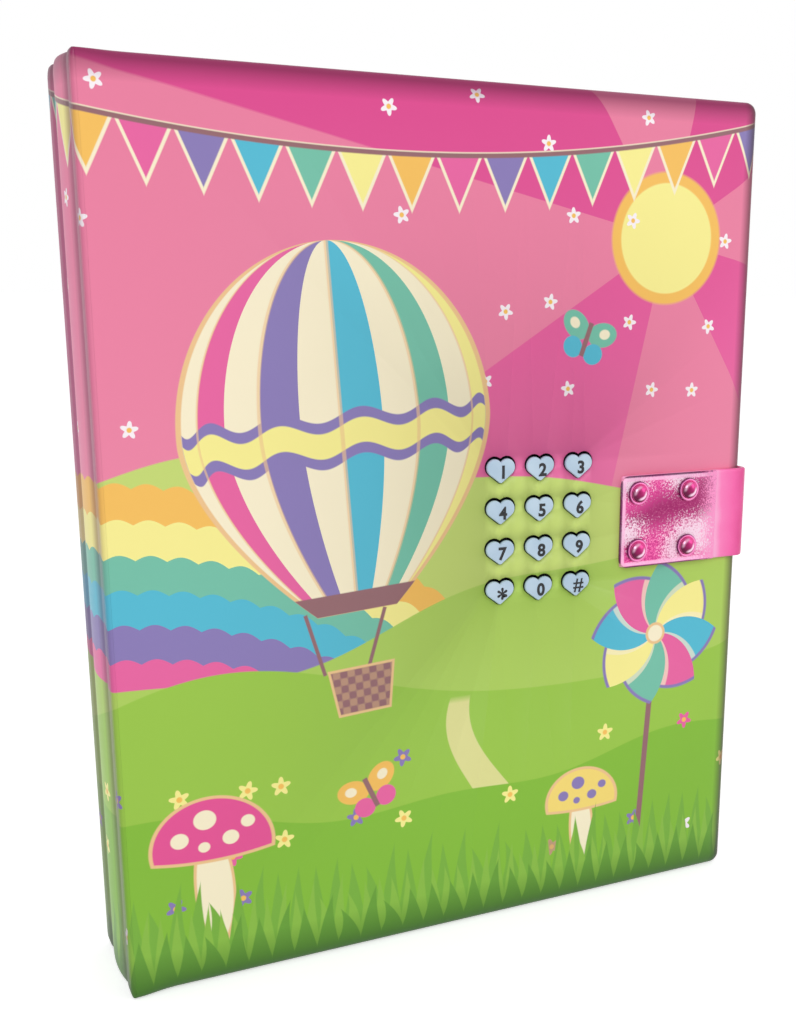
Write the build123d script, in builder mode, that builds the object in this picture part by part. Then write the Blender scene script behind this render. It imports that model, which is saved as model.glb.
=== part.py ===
from build123d import *
from math import acos, atan2, cos, hypot, sin
import os

# Electronic secret diary: a hard-cover book whose front board carries a keypad with heart-shaped
# keys and a riveted strap. Millimetres. X runs right across the front cover, Y into the book,
# Z up. The diary stands upright; the origin is under the middle of it, on the table.

os.makedirs("parts", exist_ok=True)

# ---------------------------------------------------------------- driving dimensions

# the closed book
cover_width = 178.5          # from the fold at the spine to the fore-edge
cover_height = 222.0
book_thickness = 34.0        # outer face to outer face

# the padded cover panels, from the outside in
wrap_sheet = 0.5             # printed and laminated sheet
foam_sheet = 1.3
board_sheet = 2.4            # grey board
lining_sheet = 0.4
edge_round = 2.7             # soft rounding of the free edges, outside
corner_round = 3.0           # the panel corners, seen from the front
board_inset = 0.2            # board kept back from the wrapped edge
hinge_setback = 1.7          # board kept back from the fold
turn_in = 3.0                # wrap seen round the lining
lining_gap = 0.1

# the folds and the spine
fold_round = 1.2             # bend of the wrap where front and back meet the spine
fold_gap = 0.05
groove_depth = 0.6           # hinge groove between a panel and the spine board
groove_start = 5.0           # groove, measured from the outer face
groove_end = 9.4
spine_bulge = 0.6            # the spine stands out of the folds by this much
spine_board_sheet = 1.75

# the keypad, placed from the fore-edge and from half height
keypad_from_edge = 65.9
keypad_rise = -0.5
key_pitch_x = 11.6
key_pitch_z = 10.85
heart_lobe_radius = 2.3
heart_lobe_offset = 1.8
heart_tip_radius = 0.7
heart_tip_drop = 3.4
key_proud = 0.9              # key above the printed sheet
key_top_round = 0.4
key_travel = 0.8
key_gap = 0.35               # printed sheet to key
key_guide_gap = 0.15         # housing to key
key_board_gap = 0.6          # board, foam and lining to key
key_flange = 0.8             # flange wider than the key
key_flange_thickness = 0.8
key_stop_gap = 0.1

# the keypad module behind the front board
keypad_housing_width = 40.0
keypad_housing_height = 54.0
keypad_housing_front = 1.0
keypad_housing_wall = 1.2
keypad_boss_radius = 2.0
keypad_boss_inset_x = 3.5
keypad_boss_inset_z = 3.4
rubber_sheet = 0.7
rubber_edge_gap = 0.4
rubber_height = 42.8
dome_base_radius = 2.2
dome_top_radius = 1.6
dome_gap = 0.05
pcb_sheet = 1.2
keypad_pcb_to_back = 0.5
keypad_back_sheet = 1.4

# small countersunk screws
screw_radius = 1.0
screw_head_radius = 1.8
screw_hole_gap = 0.05
keypad_screw_length = 4.2
deck_screw_length = 8.0

# the strap, its clasp plate and its rivets
strap_width = 25.6
strap_sheet = 1.4
strap_rise = -0.6            # strap middle from half height
strap_gap = 0.05             # strap to printed sheet
strap_edge_gap = 0.2         # strap to the fore-edge
strap_bend_radius = 1.5      # inside of the bend
strap_flap_end = 25.0        # depth that the strap reaches down the fore-edge
strap_end_round = 3.0
plate_from_edge = 41.5
plate_length = 31.9
plate_sheet = 0.7
plate_corner = 2.6
plate_edge_round = 0.25
strap_start_inset = 0.8      # strap starts behind the plate's edge
rivet_from_edge = 27.7       # middle of the four rivets
rivet_pitch_x = 16.4
rivet_pitch_z = 16.0
rivet_shank_radius = 1.5
rivet_hole_gap = 0.05
rivet_ring_radius = 3.3
rivet_ring_height = 0.45
rivet_dome_radius = 2.45
rivet_dome_height = 1.35
rivet_tail_radius = 2.6
rivet_tail_height = 0.9
backing_plate_sheet = 0.8
backing_plate_margin = 4.6

# the latch tongue at the strap's end
tongue_plate_sheet = 1.2
tongue_plate_start = 8.0     # depths from the front face
tongue_plate_end = 21.0
tongue_plate_height = 18.0
tongue_seat_gap = 0.05
tongue_start = 10.0
tongue_end = 18.0
tongue_reach = 16.0          # tongue tip inside the fore-edge
tongue_thickness = 1.6
tongue_tip_round = 1.5
tongue_hole_radius = 2.4
tongue_rivet_pitch = 12.0
tongue_rivet_radius = 1.0
tongue_rivet_head_radius = 1.9
tongue_rivet_head_height = 0.8

# the inner case on the back board
case_square = 4.0            # boards stand out of the case by this much
case_wall = 1.8
case_floor = 1.5
case_rim_depth = 5.2         # rim, from the front face
case_corner = 4.0
electronics_width = 34.5     # inside width of the compartment at the fore-edge
partition_wall = 1.5
deck_front_depth = 7.0
deck_sheet = 1.5
deck_gap = 0.1

# the notebook
leaf_front_depth = 12.0
leaf_bundle = 2.0
leaf_gap = 0.15
page_head_gap = 0.8
page_side_gap = 0.5
page_binding_sheet = 0.8
page_left_gap = 1.4          # page block to the case wall
leaf_step = 2.2              # each bundle is bound this much further in
leaf_wall_gap = 0.5          # turned leaves to the case wall

# the lock
bolt_radius = 2.0
bolt_axis_inset = 12.0       # bolt axis inside the fore-edge
bolt_axis_depth = 14.0
bolt_travel = 4.0
bolt_rest_gap = 0.7          # bolt below the tongue at rest
bolt_bore_gap = 0.08
bolt_collar_radius = 3.4
bolt_collar_height = 1.0
bolt_collar_gap = 0.1
slot_side_gap = 0.5          # above and below the tongue
slot_end_gap = 2.6           # beyond the tongue's tip
slot_bottom_gap = 0.8        # beyond the arc of the tongue's tip
lock_housing_half_height = 9.0
lock_housing_wall = 1.0
lock_housing_gap = 0.1       # to the deck, the case wall and the floor
solenoid_width = 10.8
solenoid_height = 18.0
solenoid_frame_sheet = 1.0
solenoid_coil_radius = 4.2
plunger_depth = 12.0         # plunger inside the coil

# batteries, three small cells side by side
cell_radius = 5.25
cell_length = 43.5
cell_nub_radius = 1.9
cell_nub_length = 1.0
cell_pitch = 10.8
cell_floor_gap = 0.2
cell_top_gap = 1.2
battery_box_wall = 1.2
battery_box_low = 8.2
battery_spring_length = 3.6
battery_spring_wide = 3.4
battery_spring_narrow = 2.0
contact_sheet = 0.4
contact_size = 8.0
contact_gap = 0.1
battery_box_gap = 0.2
battery_door_gap = 0.3
battery_door_sheet = 1.3
battery_door_inset = 1.0     # deck left beside the door
battery_door_low = 9.5
battery_door_high = 70.0
battery_door_screw_z = 66.0
door_grip_count = 5
door_grip_pitch = 2.4
door_grip_width = 1.0
door_grip_length = 16.0
door_grip_cut = 0.5
door_grip_z = 18.0

# loudspeaker, main circuit board and wiring
speaker_rise = 59.0          # from half height
speaker_radius = 14.0
speaker_rim_height = 1.2
speaker_basket_height = 3.6
speaker_basket_radius = 11.0
speaker_magnet_radius = 7.0
speaker_magnet_height = 3.0
speaker_cone_sheet = 0.5
speaker_wall = 0.9
grille_hole_radius = 0.9
grille_ring_pitch = 3.6
grille_ring_count = 3
main_pcb_width = 30.0
main_pcb_rise = 13.0         # low edge from half height
main_pcb_height = 66.0
pcb_post_height = 3.2        # board's back to the case floor
main_pcb_inset = 3.0
pcb_post_radius = 2.0
boss_radius = 3.0
boss_row_drop = 37.0         # lower row below half height
boss_row_top = 14.0          # upper row below the book's top
boss_inset = 4.8
blob_radius = 5.0
blob_height = 1.4
blob_rise = 20.0             # chip above the board's low edge
capacitor_radius = 2.5
capacitor_height = 5.0
capacitor_rise = 30.0
capacitor_offset = 8.0
crystal_size = (4.0, 2.0, 8.0)
crystal_rise = 30.0
crystal_offset = -8.0
ribbon_sheet = 0.3
ribbon_width = 7.0
ribbon_rise = 17.5           # from half height
ribbon_slot_gap = 0.25
ribbon_run_in = 8.0          # ribbon over the keypad board's back
ribbon_ramp = 6.0
ribbon_fold_gap = 5.5        # flat ribbon stops this far from the fold
ribbon_rise_place = 30.5     # from the fore-edge, where the ribbon comes up to the board
wire_radius = 0.6
wire_bend = 3.0
wire_pitch = 1.8

# ---------------------------------------------------------------- places worked out from them

cover_stack = wrap_sheet + foam_sheet + board_sheet
cover_total = cover_stack + lining_sheet

# the whole diary is centred over the origin, from the spine to the tongue's rivet heads and from
# the clasp rivets to the back cover
strap_proud = strap_edge_gap + strap_sheet + tongue_rivet_head_height
x_fold = spine_bulge - (cover_width + spine_bulge + strap_proud) / 2
x_fore = x_fold + cover_width
front_proud = strap_gap + strap_sheet + plate_sheet + rivet_ring_height + rivet_dome_height
y_front = front_proud - (book_thickness + front_proud) / 2
y_back = y_front + book_thickness
z_middle = cover_height / 2

key_x = x_fore - keypad_from_edge
key_z = z_middle + keypad_rise
strap_z = z_middle + strap_rise
rivet_x = x_fore - rivet_from_edge
ribbon_z = z_middle + ribbon_rise
speaker_z = z_middle + speaker_rise
main_pcb_low = z_middle + main_pcb_rise
main_pcb_high = main_pcb_low + main_pcb_height


def depth(d):
    """Y of a place that lies d behind the front face."""
    return y_front + d


def upright(d):
    """The sketch plane that faces the reader, d behind the front face: x right, y up."""
    return Plane.XZ.offset(-depth(d))


def level(z):
    """The sketch plane that lies flat at height z: x right, y into the book."""
    return Plane.XY.offset(z)


def block(x_span, depth_span, z_span, mode=Mode.ADD):
    """A box in the open part, from its spans in X, in depth and in Z."""
    size = (x_span[1] - x_span[0], depth_span[1] - depth_span[0], z_span[1] - z_span[0])
    middle = (sum(x_span) / 2, depth(sum(depth_span) / 2), sum(z_span) / 2)
    with Locations(middle):
        Box(*size, mode=mode)


def around(middle, size):
    """A span of the given size about its middle."""
    return (middle - size / 2, middle + size / 2)


def heart(growth=0.0):
    """A heart about the middle between its lobes, grown outwards all round."""
    lobe = heart_lobe_radius + growth
    tip = heart_tip_radius + growth
    side = atan2(heart_tip_drop, heart_lobe_offset) - acos(
        (heart_tip_radius - heart_lobe_radius) / hypot(heart_lobe_offset, heart_tip_drop)
    )
    lobe_touch = (heart_lobe_offset + lobe * cos(side), lobe * sin(side))
    tip_touch = (tip * cos(side), tip * sin(side) - heart_tip_drop)
    right = [tip_touch, lobe_touch, (heart_lobe_offset, 0)]
    left = [(-x, y) for x, y in reversed(right)]
    Polygon(*right, *left, align=None)
    with Locations((-heart_lobe_offset, 0), (heart_lobe_offset, 0)):
        Circle(lobe)
    with Locations((0, -heart_tip_drop)):
        Circle(tip)


# the hearts are centred on their height, and the keys run in four rows from the top
heart_rise = (heart_tip_drop + heart_tip_radius - heart_lobe_radius) / 2
key_rows = [["1", "2", "3"], ["4", "5", "6"], ["7", "8", "9"], ["star", "0", "hash"]]
key_places = {
    name: (key_x + (column - 1) * key_pitch_x, key_z + (1.5 - row) * key_pitch_z + heart_rise)
    for row, names in enumerate(key_rows)
    for column, name in enumerate(names)
}


def key_holes(d, length, growth):
    """Twelve heart-shaped holes, from d behind the front face through length."""
    with BuildSketch(upright(d)) as hearts:
        with Locations(*key_places.values()):
            heart(growth)
    extrude(hearts.sketch, amount=-length, mode=Mode.SUBTRACT)


rivet_places = [
    (rivet_x + across * rivet_pitch_x / 2, strap_z + up * rivet_pitch_z / 2)
    for across in (-1, 1)
    for up in (-1, 1)
]


def rivet_holes(d, length):
    """Four holes for the clasp rivets' shanks."""
    with BuildSketch(upright(d)) as circles:
        with Locations(*rivet_places):
            Circle(rivet_shank_radius + rivet_hole_gap)
    extrude(circles.sketch, amount=-length, mode=Mode.SUBTRACT)


def padded_slab(inset, hinge_side, near, far):
    """A cover panel drawn in by inset at its three free edges, with softly rounded edges."""
    with BuildPart() as slab:
        block(
            (x_fold + hinge_side, x_fore - inset), (near, far), (inset, cover_height - inset)
        )
        corners = slab.edges().filter_by(Axis.Y).group_by(Axis.X)[-1]
        fillet(corners, corner_round - inset)
        outer = slab.faces().sort_by(Axis.Y)[0].edges().sort_by(Axis.X)[1:]
        fillet(outer, edge_round - inset)
    return slab.part


# where the spine's panels, the boards and the case meet the front and the back alike
mirror_plane = Plane.XZ.offset(-depth(book_thickness / 2))
panel_outside = padded_slab(0, fold_round, 0, cover_total)
panel_filling = padded_slab(wrap_sheet, hinge_setback, wrap_sheet, cover_stack)
lining_x = (x_fold + turn_in + lining_gap, x_fore - turn_in - lining_gap)
lining_z = (turn_in + lining_gap, cover_height - turn_in - lining_gap)

pieces = {}

# ---------------------------------------------------------------- front cover panel

with BuildPart() as front_wrap:
    add(panel_outside)
    add(panel_filling, mode=Mode.SUBTRACT)
    block(
        (x_fold + turn_in, x_fore - turn_in),
        (cover_stack, cover_total),
        (turn_in, cover_height - turn_in),
        mode=Mode.SUBTRACT,
    )
    key_holes(0, wrap_sheet, key_gap)
    rivet_holes(0, wrap_sheet)
pieces["front_wrap"] = front_wrap

with BuildPart() as front_foam:
    add(panel_filling)
    split(bisect_by=upright(wrap_sheet + foam_sheet), keep=Keep.TOP)
    key_holes(wrap_sheet, foam_sheet, key_board_gap)
    rivet_holes(wrap_sheet, foam_sheet)
pieces["front_foam"] = front_foam

board_reach = (x_fold + hinge_setback + board_inset, x_fore - wrap_sheet - board_inset)
board_height = (wrap_sheet + board_inset, cover_height - wrap_sheet - board_inset)

with BuildPart() as front_board:
    block(board_reach, (wrap_sheet + foam_sheet, cover_stack), board_height)
    fillet(front_board.edges().filter_by(Axis.Y).group_by(Axis.X)[-1], corner_round)
    key_holes(wrap_sheet + foam_sheet, board_sheet, key_board_gap)
    rivet_holes(wrap_sheet + foam_sheet, board_sheet)
pieces["front_board"] = front_board

with BuildPart() as front_lining:
    block(lining_x, (cover_stack, cover_total), lining_z)
    key_holes(cover_stack, lining_sheet, key_board_gap)
    rivet_holes(cover_stack, lining_sheet)
pieces["front_lining"] = front_lining

# ---------------------------------------------------------------- back cover panel

with BuildPart() as back_wrap:
    add(panel_outside)
    add(panel_filling, mode=Mode.SUBTRACT)
    block(
        (x_fold + turn_in, x_fore - turn_in),
        (cover_stack, cover_total),
        (turn_in, cover_height - turn_in),
        mode=Mode.SUBTRACT,
    )
    mirror(about=mirror_plane, mode=Mode.REPLACE)
pieces["back_wrap"] = back_wrap

with BuildPart() as back_foam:
    add(panel_filling)
    split(bisect_by=upright(wrap_sheet + foam_sheet), keep=Keep.TOP)
    mirror(about=mirror_plane, mode=Mode.REPLACE)
pieces["back_foam"] = back_foam

with BuildPart() as back_board:
    block(board_reach, (book_thickness - cover_stack, book_thickness - wrap_sheet - foam_sheet), board_height)
    fillet(back_board.edges().filter_by(Axis.Y).group_by(Axis.X)[-1], corner_round)
pieces["back_board"] = back_board

with BuildPart() as back_lining:
    block(lining_x, (book_thickness - cover_total, book_thickness - cover_stack), lining_z)
pieces["back_lining"] = back_lining

# ---------------------------------------------------------------- spine

spine_start = fold_round + fold_gap
spine_middle = book_thickness / 2


def spine_line(inset, groove):
    """The spine's line seen from above, inset from the printed surface, with its two grooves."""
    x = x_fold + inset
    for side in (1, -1):
        start, middle, end = [
            depth(spine_middle - side * (spine_middle - place))
            for place in (groove_start, (groove_start + groove_end) / 2, groove_end)
        ]
        Line((x, depth(spine_middle - side * (spine_middle - spine_start))), (x, start))
        ThreePointArc((x, start), (x + groove, middle), (x, end))
    ThreePointArc(
        (x, depth(groove_end)),
        (x - spine_bulge, depth(spine_middle)),
        (x, depth(book_thickness - groove_end)),
    )


with BuildPart() as spine_wrap:
    with BuildSketch():
        with BuildLine():
            spine_line(0, groove_depth)
            spine_line(wrap_sheet, groove_depth)
            for end in (spine_start, book_thickness - spine_start):
                Line((x_fold, depth(end)), (x_fold + wrap_sheet, depth(end)))
        make_face()
    extrude(amount=cover_height)
pieces["spine_wrap"] = spine_wrap

spine_board_x = x_fold + wrap_sheet
spine_inside = spine_board_x + spine_board_sheet - spine_bulge / 2

with BuildPart() as spine_board:
    with BuildSketch(level(wrap_sheet)):
        with BuildLine():
            ThreePointArc(
                (spine_board_x, depth(groove_end)),
                (spine_board_x - spine_bulge, depth(spine_middle)),
                (spine_board_x, depth(book_thickness - groove_end)),
            )
            Polyline(
                (spine_board_x, depth(book_thickness - groove_end)),
                (spine_inside, depth(book_thickness - groove_end)),
                (spine_inside, depth(groove_end)),
                (spine_board_x, depth(groove_end)),
            )
        make_face()
    extrude(amount=cover_height - 2 * wrap_sheet)
pieces["spine_board"] = spine_board

spine_lining_x = (spine_inside, spine_inside + lining_sheet)
spine_lining_depths = (groove_start + groove_depth, book_thickness - groove_start - groove_depth)

with BuildPart() as spine_lining:
    block(spine_lining_x, spine_lining_depths, lining_z)
pieces["spine_lining"] = spine_lining

# ---------------------------------------------------------------- keys

key_stem_end = cover_total + keypad_housing_front + key_stop_gap
key_flange_end = key_stem_end + key_flange_thickness

for name, place in key_places.items():
    with BuildPart() as key:
        with BuildSketch(upright(-key_proud)):
            with Locations(place):
                heart()
        extrude(amount=-(key_proud + key_stem_end))
        chamfer(key.faces().sort_by(Axis.Y)[0].edges(), key_top_round)
        with BuildSketch(upright(key_stem_end)):
            with Locations(place):
                heart(key_flange)
        extrude(amount=-key_flange_thickness)
    pieces["key_" + name] = key

# ---------------------------------------------------------------- keypad module

rubber_top = key_flange_end + key_travel + 2 * key_stop_gap
keypad_pcb_front = rubber_top + rubber_sheet
keypad_pcb_back = keypad_pcb_front + pcb_sheet
keypad_cover_front = keypad_pcb_back + keypad_pcb_to_back
keypad_cover_back = keypad_cover_front + keypad_back_sheet
housing_x = around(key_x, keypad_housing_width)
housing_z = around(key_z, keypad_housing_height)
keypad_bosses = [
    (
        key_x + across * (keypad_housing_width / 2 - keypad_boss_inset_x),
        key_z + up * (keypad_housing_height / 2 - keypad_boss_inset_z),
    )
    for across in (-1, 1)
    for up in (-1, 1)
]
inner_width = keypad_housing_width - 2 * keypad_housing_wall
inner_height = keypad_housing_height - 2 * keypad_housing_wall
ribbon_slot_z = around(ribbon_z, ribbon_width + 2 * ribbon_slot_gap)
ribbon_span_z = around(ribbon_z, ribbon_width)

with BuildPart() as keypad_housing:
    block(housing_x, (cover_total, keypad_cover_front), housing_z)
    block(
        around(key_x, inner_width),
        (cover_total + keypad_housing_front, keypad_cover_front),
        around(key_z, inner_height),
        mode=Mode.SUBTRACT,
    )
    with BuildSketch(upright(cover_total)):
        with Locations(*keypad_bosses):
            Circle(keypad_boss_radius)
    extrude(amount=-(keypad_cover_front - cover_total))
    with BuildSketch(upright(cover_total + keypad_housing_front)):
        with Locations(*keypad_bosses):
            Circle(screw_radius + screw_hole_gap)
    extrude(amount=-(keypad_cover_front - cover_total), mode=Mode.SUBTRACT)
    key_holes(cover_total, keypad_housing_front, key_guide_gap)
    block(
        (housing_x[0], housing_x[0] + keypad_housing_wall),
        (keypad_pcb_back - ribbon_slot_gap, keypad_cover_front),
        ribbon_slot_z,
        mode=Mode.SUBTRACT,
    )
pieces["keypad_housing"] = keypad_housing

with BuildPart() as rubber_keypad:
    block(
        around(key_x, inner_width - 2 * rubber_edge_gap),
        (rubber_top, keypad_pcb_front),
        around(key_z, rubber_height - 2 * rubber_edge_gap),
    )
    with Locations(
        *[
            Plane((x, depth(rubber_top), z - heart_rise), z_dir=(0, -1, 0))
            for x, z in key_places.values()
        ]
    ):
        Cone(
            dome_base_radius,
            dome_top_radius,
            rubber_top - key_flange_end - dome_gap,
            align=(Align.CENTER, Align.CENTER, Align.MIN),
        )
pieces["rubber_keypad"] = rubber_keypad

with BuildPart() as keypad_circuit_board:
    block(
        around(key_x, inner_width - 2 * rubber_edge_gap),
        (keypad_pcb_front, keypad_pcb_back),
        around(key_z, rubber_height - 2 * rubber_edge_gap),
    )
pieces["keypad_circuit_board"] = keypad_circuit_board

with BuildPart() as keypad_back_cover:
    block(housing_x, (keypad_cover_front, keypad_cover_back), housing_z)
    fillet(keypad_back_cover.edges().filter_by(Axis.Y), keypad_housing_wall)
    with Locations(*[Plane((x, depth(keypad_cover_back), z), z_dir=(0, 1, 0)) for x, z in keypad_bosses]):
        CounterSinkHole(
            screw_radius + screw_hole_gap,
            screw_head_radius + screw_hole_gap,
            counter_sink_angle=90,
        )
pieces["keypad_back_cover"] = keypad_back_cover


def countersunk_screw(x, back_or_front_depth, z, facing, length):
    """A countersunk screw whose flat head is flush at a depth, pointing away from facing."""
    head = Plane((x, depth(back_or_front_depth), z), z_dir=(0, facing, 0))
    with Locations(head.offset(-(screw_head_radius - screw_radius))):
        Cone(
            screw_radius,
            screw_head_radius,
            screw_head_radius - screw_radius,
            align=(Align.CENTER, Align.CENTER, Align.MIN),
        )
    with Locations(head.offset(-length)):
        Cylinder(screw_radius, length, align=(Align.CENTER, Align.CENTER, Align.MIN))
    with Locations(head):
        Box(screw_head_radius, screw_cross_width, screw_cross_depth, mode=Mode.SUBTRACT)
        Box(screw_cross_width, screw_head_radius, screw_cross_depth, mode=Mode.SUBTRACT)


screw_cross_width = 0.5
screw_cross_depth = 0.9

with BuildPart() as keypad_screws:
    for x, z in keypad_bosses:
        countersunk_screw(x, keypad_cover_back, z, 1, keypad_screw_length)
pieces["keypad_screws"] = keypad_screws

# flat cable from the keypad board, down a ramp to the lining and on to the fold
ramp_foot = housing_x[0] - ribbon_ramp
ribbon_line = [
    (housing_x[0] + ribbon_run_in, keypad_pcb_back),
    (housing_x[0] - ribbon_sheet, keypad_pcb_back),
    (ramp_foot, cover_total),
    (x_fold + ribbon_fold_gap, cover_total),
]
ribbon_back = [(x - shift, d + ribbon_sheet) for (x, d), shift in zip(ribbon_line, (0, ribbon_sheet, ribbon_sheet, 0))]

with BuildPart() as cover_ribbon_cable:
    with BuildSketch(level(ribbon_span_z[0])):
        Polygon(*[(x, depth(d)) for x, d in ribbon_line + ribbon_back[::-1]], align=None)
    extrude(amount=ribbon_width)
pieces["cover_ribbon_cable"] = cover_ribbon_cable

# ---------------------------------------------------------------- strap, plate and rivets

strap_back = -strap_gap
strap_face = strap_back - strap_sheet
plate_face = strap_face - plate_sheet
bend_x = x_fore + strap_edge_gap - strap_bend_radius
bend_depth = strap_back + strap_bend_radius
plate_x = (x_fore - plate_from_edge, x_fore - plate_from_edge + plate_length)
strap_span_z = around(strap_z, strap_width)

with BuildPart() as strap_front:
    block((plate_x[0] + strap_start_inset, bend_x), (strap_face, strap_back), strap_span_z)
    fillet(strap_front.edges().filter_by(Axis.Y).group_by(Axis.X)[0], plate_corner)
    rivet_holes(strap_face, strap_sheet)
pieces["strap_front"] = strap_front

with BuildPart() as strap_bend:
    with BuildSketch(level(strap_span_z[0])):
        with Locations((bend_x, depth(bend_depth))):
            Circle(strap_bend_radius + strap_sheet)
            Circle(strap_bend_radius, mode=Mode.SUBTRACT)
        with Locations((bend_x, depth(bend_depth))):
            Rectangle(
                strap_width, strap_width, align=(Align.MIN, Align.MAX), mode=Mode.INTERSECT
            )
    extrude(amount=strap_width)
pieces["strap_bend"] = strap_bend

flap_x = (x_fore + strap_edge_gap, x_fore + strap_edge_gap + strap_sheet)
tongue_rivets_z = [strap_z + side * tongue_rivet_pitch / 2 for side in (-1, 1)]
tongue_plate_middle = (tongue_plate_start + tongue_plate_end) / 2
tongue_plate_x = (x_fore + strap_edge_gap - tongue_seat_gap - tongue_plate_sheet, x_fore + strap_edge_gap - tongue_seat_gap)


def tongue_rivet_holes():
    """Two holes along X for the rivets that hold the tongue to the strap."""
    for z in tongue_rivets_z:
        with Locations(Location((x_fore, depth(tongue_plate_middle), z), (0, 90, 0))):
            Cylinder(tongue_rivet_radius + rivet_hole_gap, 4 * strap_sheet, mode=Mode.SUBTRACT)


with BuildPart() as strap_flap:
    block(flap_x, (bend_depth, strap_flap_end), strap_span_z)
    fillet(strap_flap.edges().filter_by(Axis.X).group_by(Axis.Y)[-1], strap_end_round)
    tongue_rivet_holes()
pieces["strap_flap"] = strap_flap

bolt_x = x_fore - bolt_axis_inset

with BuildPart() as latch_tongue:
    block(tongue_plate_x, (tongue_plate_start, tongue_plate_end), around(strap_z, tongue_plate_height))
    fillet(latch_tongue.edges().filter_by(Axis.X), tongue_tip_round)
    tongue_rivet_holes()
    with BuildSketch(level(strap_z - tongue_thickness / 2)) as tongue_outline:
        tongue_length = tongue_plate_x[0] - (x_fore - tongue_reach)
        with Locations((tongue_plate_x[0], depth(tongue_start))):
            Rectangle(tongue_length, tongue_end - tongue_start, align=(Align.MAX, Align.MIN))
        fillet(tongue_outline.vertices().group_by(Axis.X)[0], tongue_tip_round)
        with Locations((bolt_x, depth(bolt_axis_depth))):
            Circle(tongue_hole_radius, mode=Mode.SUBTRACT)
    extrude(amount=tongue_thickness)
pieces["latch_tongue"] = latch_tongue

with BuildPart() as tongue_rivets:
    for z in tongue_rivets_z:
        with Locations(Location((tongue_plate_x[0], depth(tongue_plate_middle), z), (0, 90, 0))):
            Cylinder(
                tongue_rivet_radius,
                flap_x[1] - tongue_plate_x[0],
                align=(Align.CENTER, Align.CENTER, Align.MIN),
            )
        with Locations(Location((flap_x[1], depth(tongue_plate_middle), z), (0, 90, 0))):
            Cone(
                tongue_rivet_head_radius,
                tongue_rivet_radius,
                tongue_rivet_head_height,
                align=(Align.CENTER, Align.CENTER, Align.MIN),
            )
pieces["tongue_rivets"] = tongue_rivets

with BuildPart() as clasp_plate:
    block(plate_x, (plate_face, strap_face), strap_span_z)
    fillet(clasp_plate.edges().filter_by(Axis.Y).group_by(Axis.X)[0], plate_corner)
    fillet(clasp_plate.faces().sort_by(Axis.Y)[0].edges(), plate_edge_round)
    rivet_holes(plate_face, plate_sheet)
pieces["clasp_plate"] = clasp_plate

backing_back = cover_total + backing_plate_sheet

with BuildPart() as rivet_backing_plate:
    block(
        around(rivet_x, rivet_pitch_x + 2 * backing_plate_margin),
        (cover_total, backing_back),
        around(strap_z, rivet_pitch_z + 2 * backing_plate_margin),
    )
    fillet(rivet_backing_plate.edges().filter_by(Axis.Y), plate_corner)
    rivet_holes(cover_total, backing_plate_sheet)
pieces["rivet_backing_plate"] = rivet_backing_plate

ring_face = plate_face - rivet_ring_height
dome_sphere = (rivet_dome_radius**2 + rivet_dome_height**2) / (2 * rivet_dome_height)

with BuildPart() as rivets:
    with BuildSketch(upright(ring_face)):
        with Locations(*rivet_places):
            Circle(rivet_ring_radius)
    extrude(amount=-rivet_ring_height)
    fillet(rivets.faces().group_by(Axis.Y)[0].edges(), rivet_ring_height / 2)
    with BuildSketch(upright(plate_face)):
        with Locations(*rivet_places):
            Circle(rivet_shank_radius)
    extrude(amount=-(backing_back - plate_face))
    with BuildSketch(upright(backing_back)):
        with Locations(*rivet_places):
            Circle(rivet_tail_radius)
    extrude(amount=-rivet_tail_height)
    for x, z in rivet_places:
        dome_base = (x, depth(ring_face), z)
        with BuildSketch(Plane(dome_base, x_dir=(1, 0, 0), z_dir=(0, 0, 1))):
            with BuildLine():
                RadiusArc((rivet_dome_radius, 0), (0, -rivet_dome_height), dome_sphere)
                Polyline((0, -rivet_dome_height), (0, 0), (rivet_dome_radius, 0))
            make_face()
        revolve(axis=Axis(dome_base, (0, 1, 0)))
pieces["rivets"] = rivets

# ---------------------------------------------------------------- inner case

case_x = (x_fold + case_square, x_fore - case_square)
case_z = (case_square, cover_height - case_square)
case_back = book_thickness - cover_total
case_floor_front = case_back - case_floor
inside_x = (case_x[0] + case_wall, case_x[1] - case_wall)
inside_z = (case_z[0] + case_wall, case_z[1] - case_wall)
electronics_x = (inside_x[1] - electronics_width, inside_x[1])
electronics_middle = sum(electronics_x) / 2
partition_x = (electronics_x[0] - partition_wall, electronics_x[0])
deck_back_depth = deck_front_depth + deck_sheet
deck_bosses = [
    (x, z)
    for x in (electronics_x[0] + boss_inset, electronics_x[1] - boss_inset)
    for z in (z_middle - boss_row_drop, cover_height - boss_row_top)
]
door_boss = (electronics_middle, battery_door_screw_z)
pcb_posts = [
    (electronics_middle + across * (main_pcb_width / 2 - main_pcb_inset), z)
    for across in (-1, 1)
    for z in (main_pcb_low + main_pcb_inset, main_pcb_high - main_pcb_inset)
]
main_pcb_back = case_floor_front - pcb_post_height
main_pcb_depth = main_pcb_back - pcb_sheet
slot_z = around(strap_z, tongue_thickness + 2 * slot_side_gap)
tip_swing = hypot(tongue_reach + strap_edge_gap - strap_bend_radius, tongue_end - bend_depth)
slot_bottom_depth = bend_depth + tip_swing + slot_bottom_gap

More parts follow.
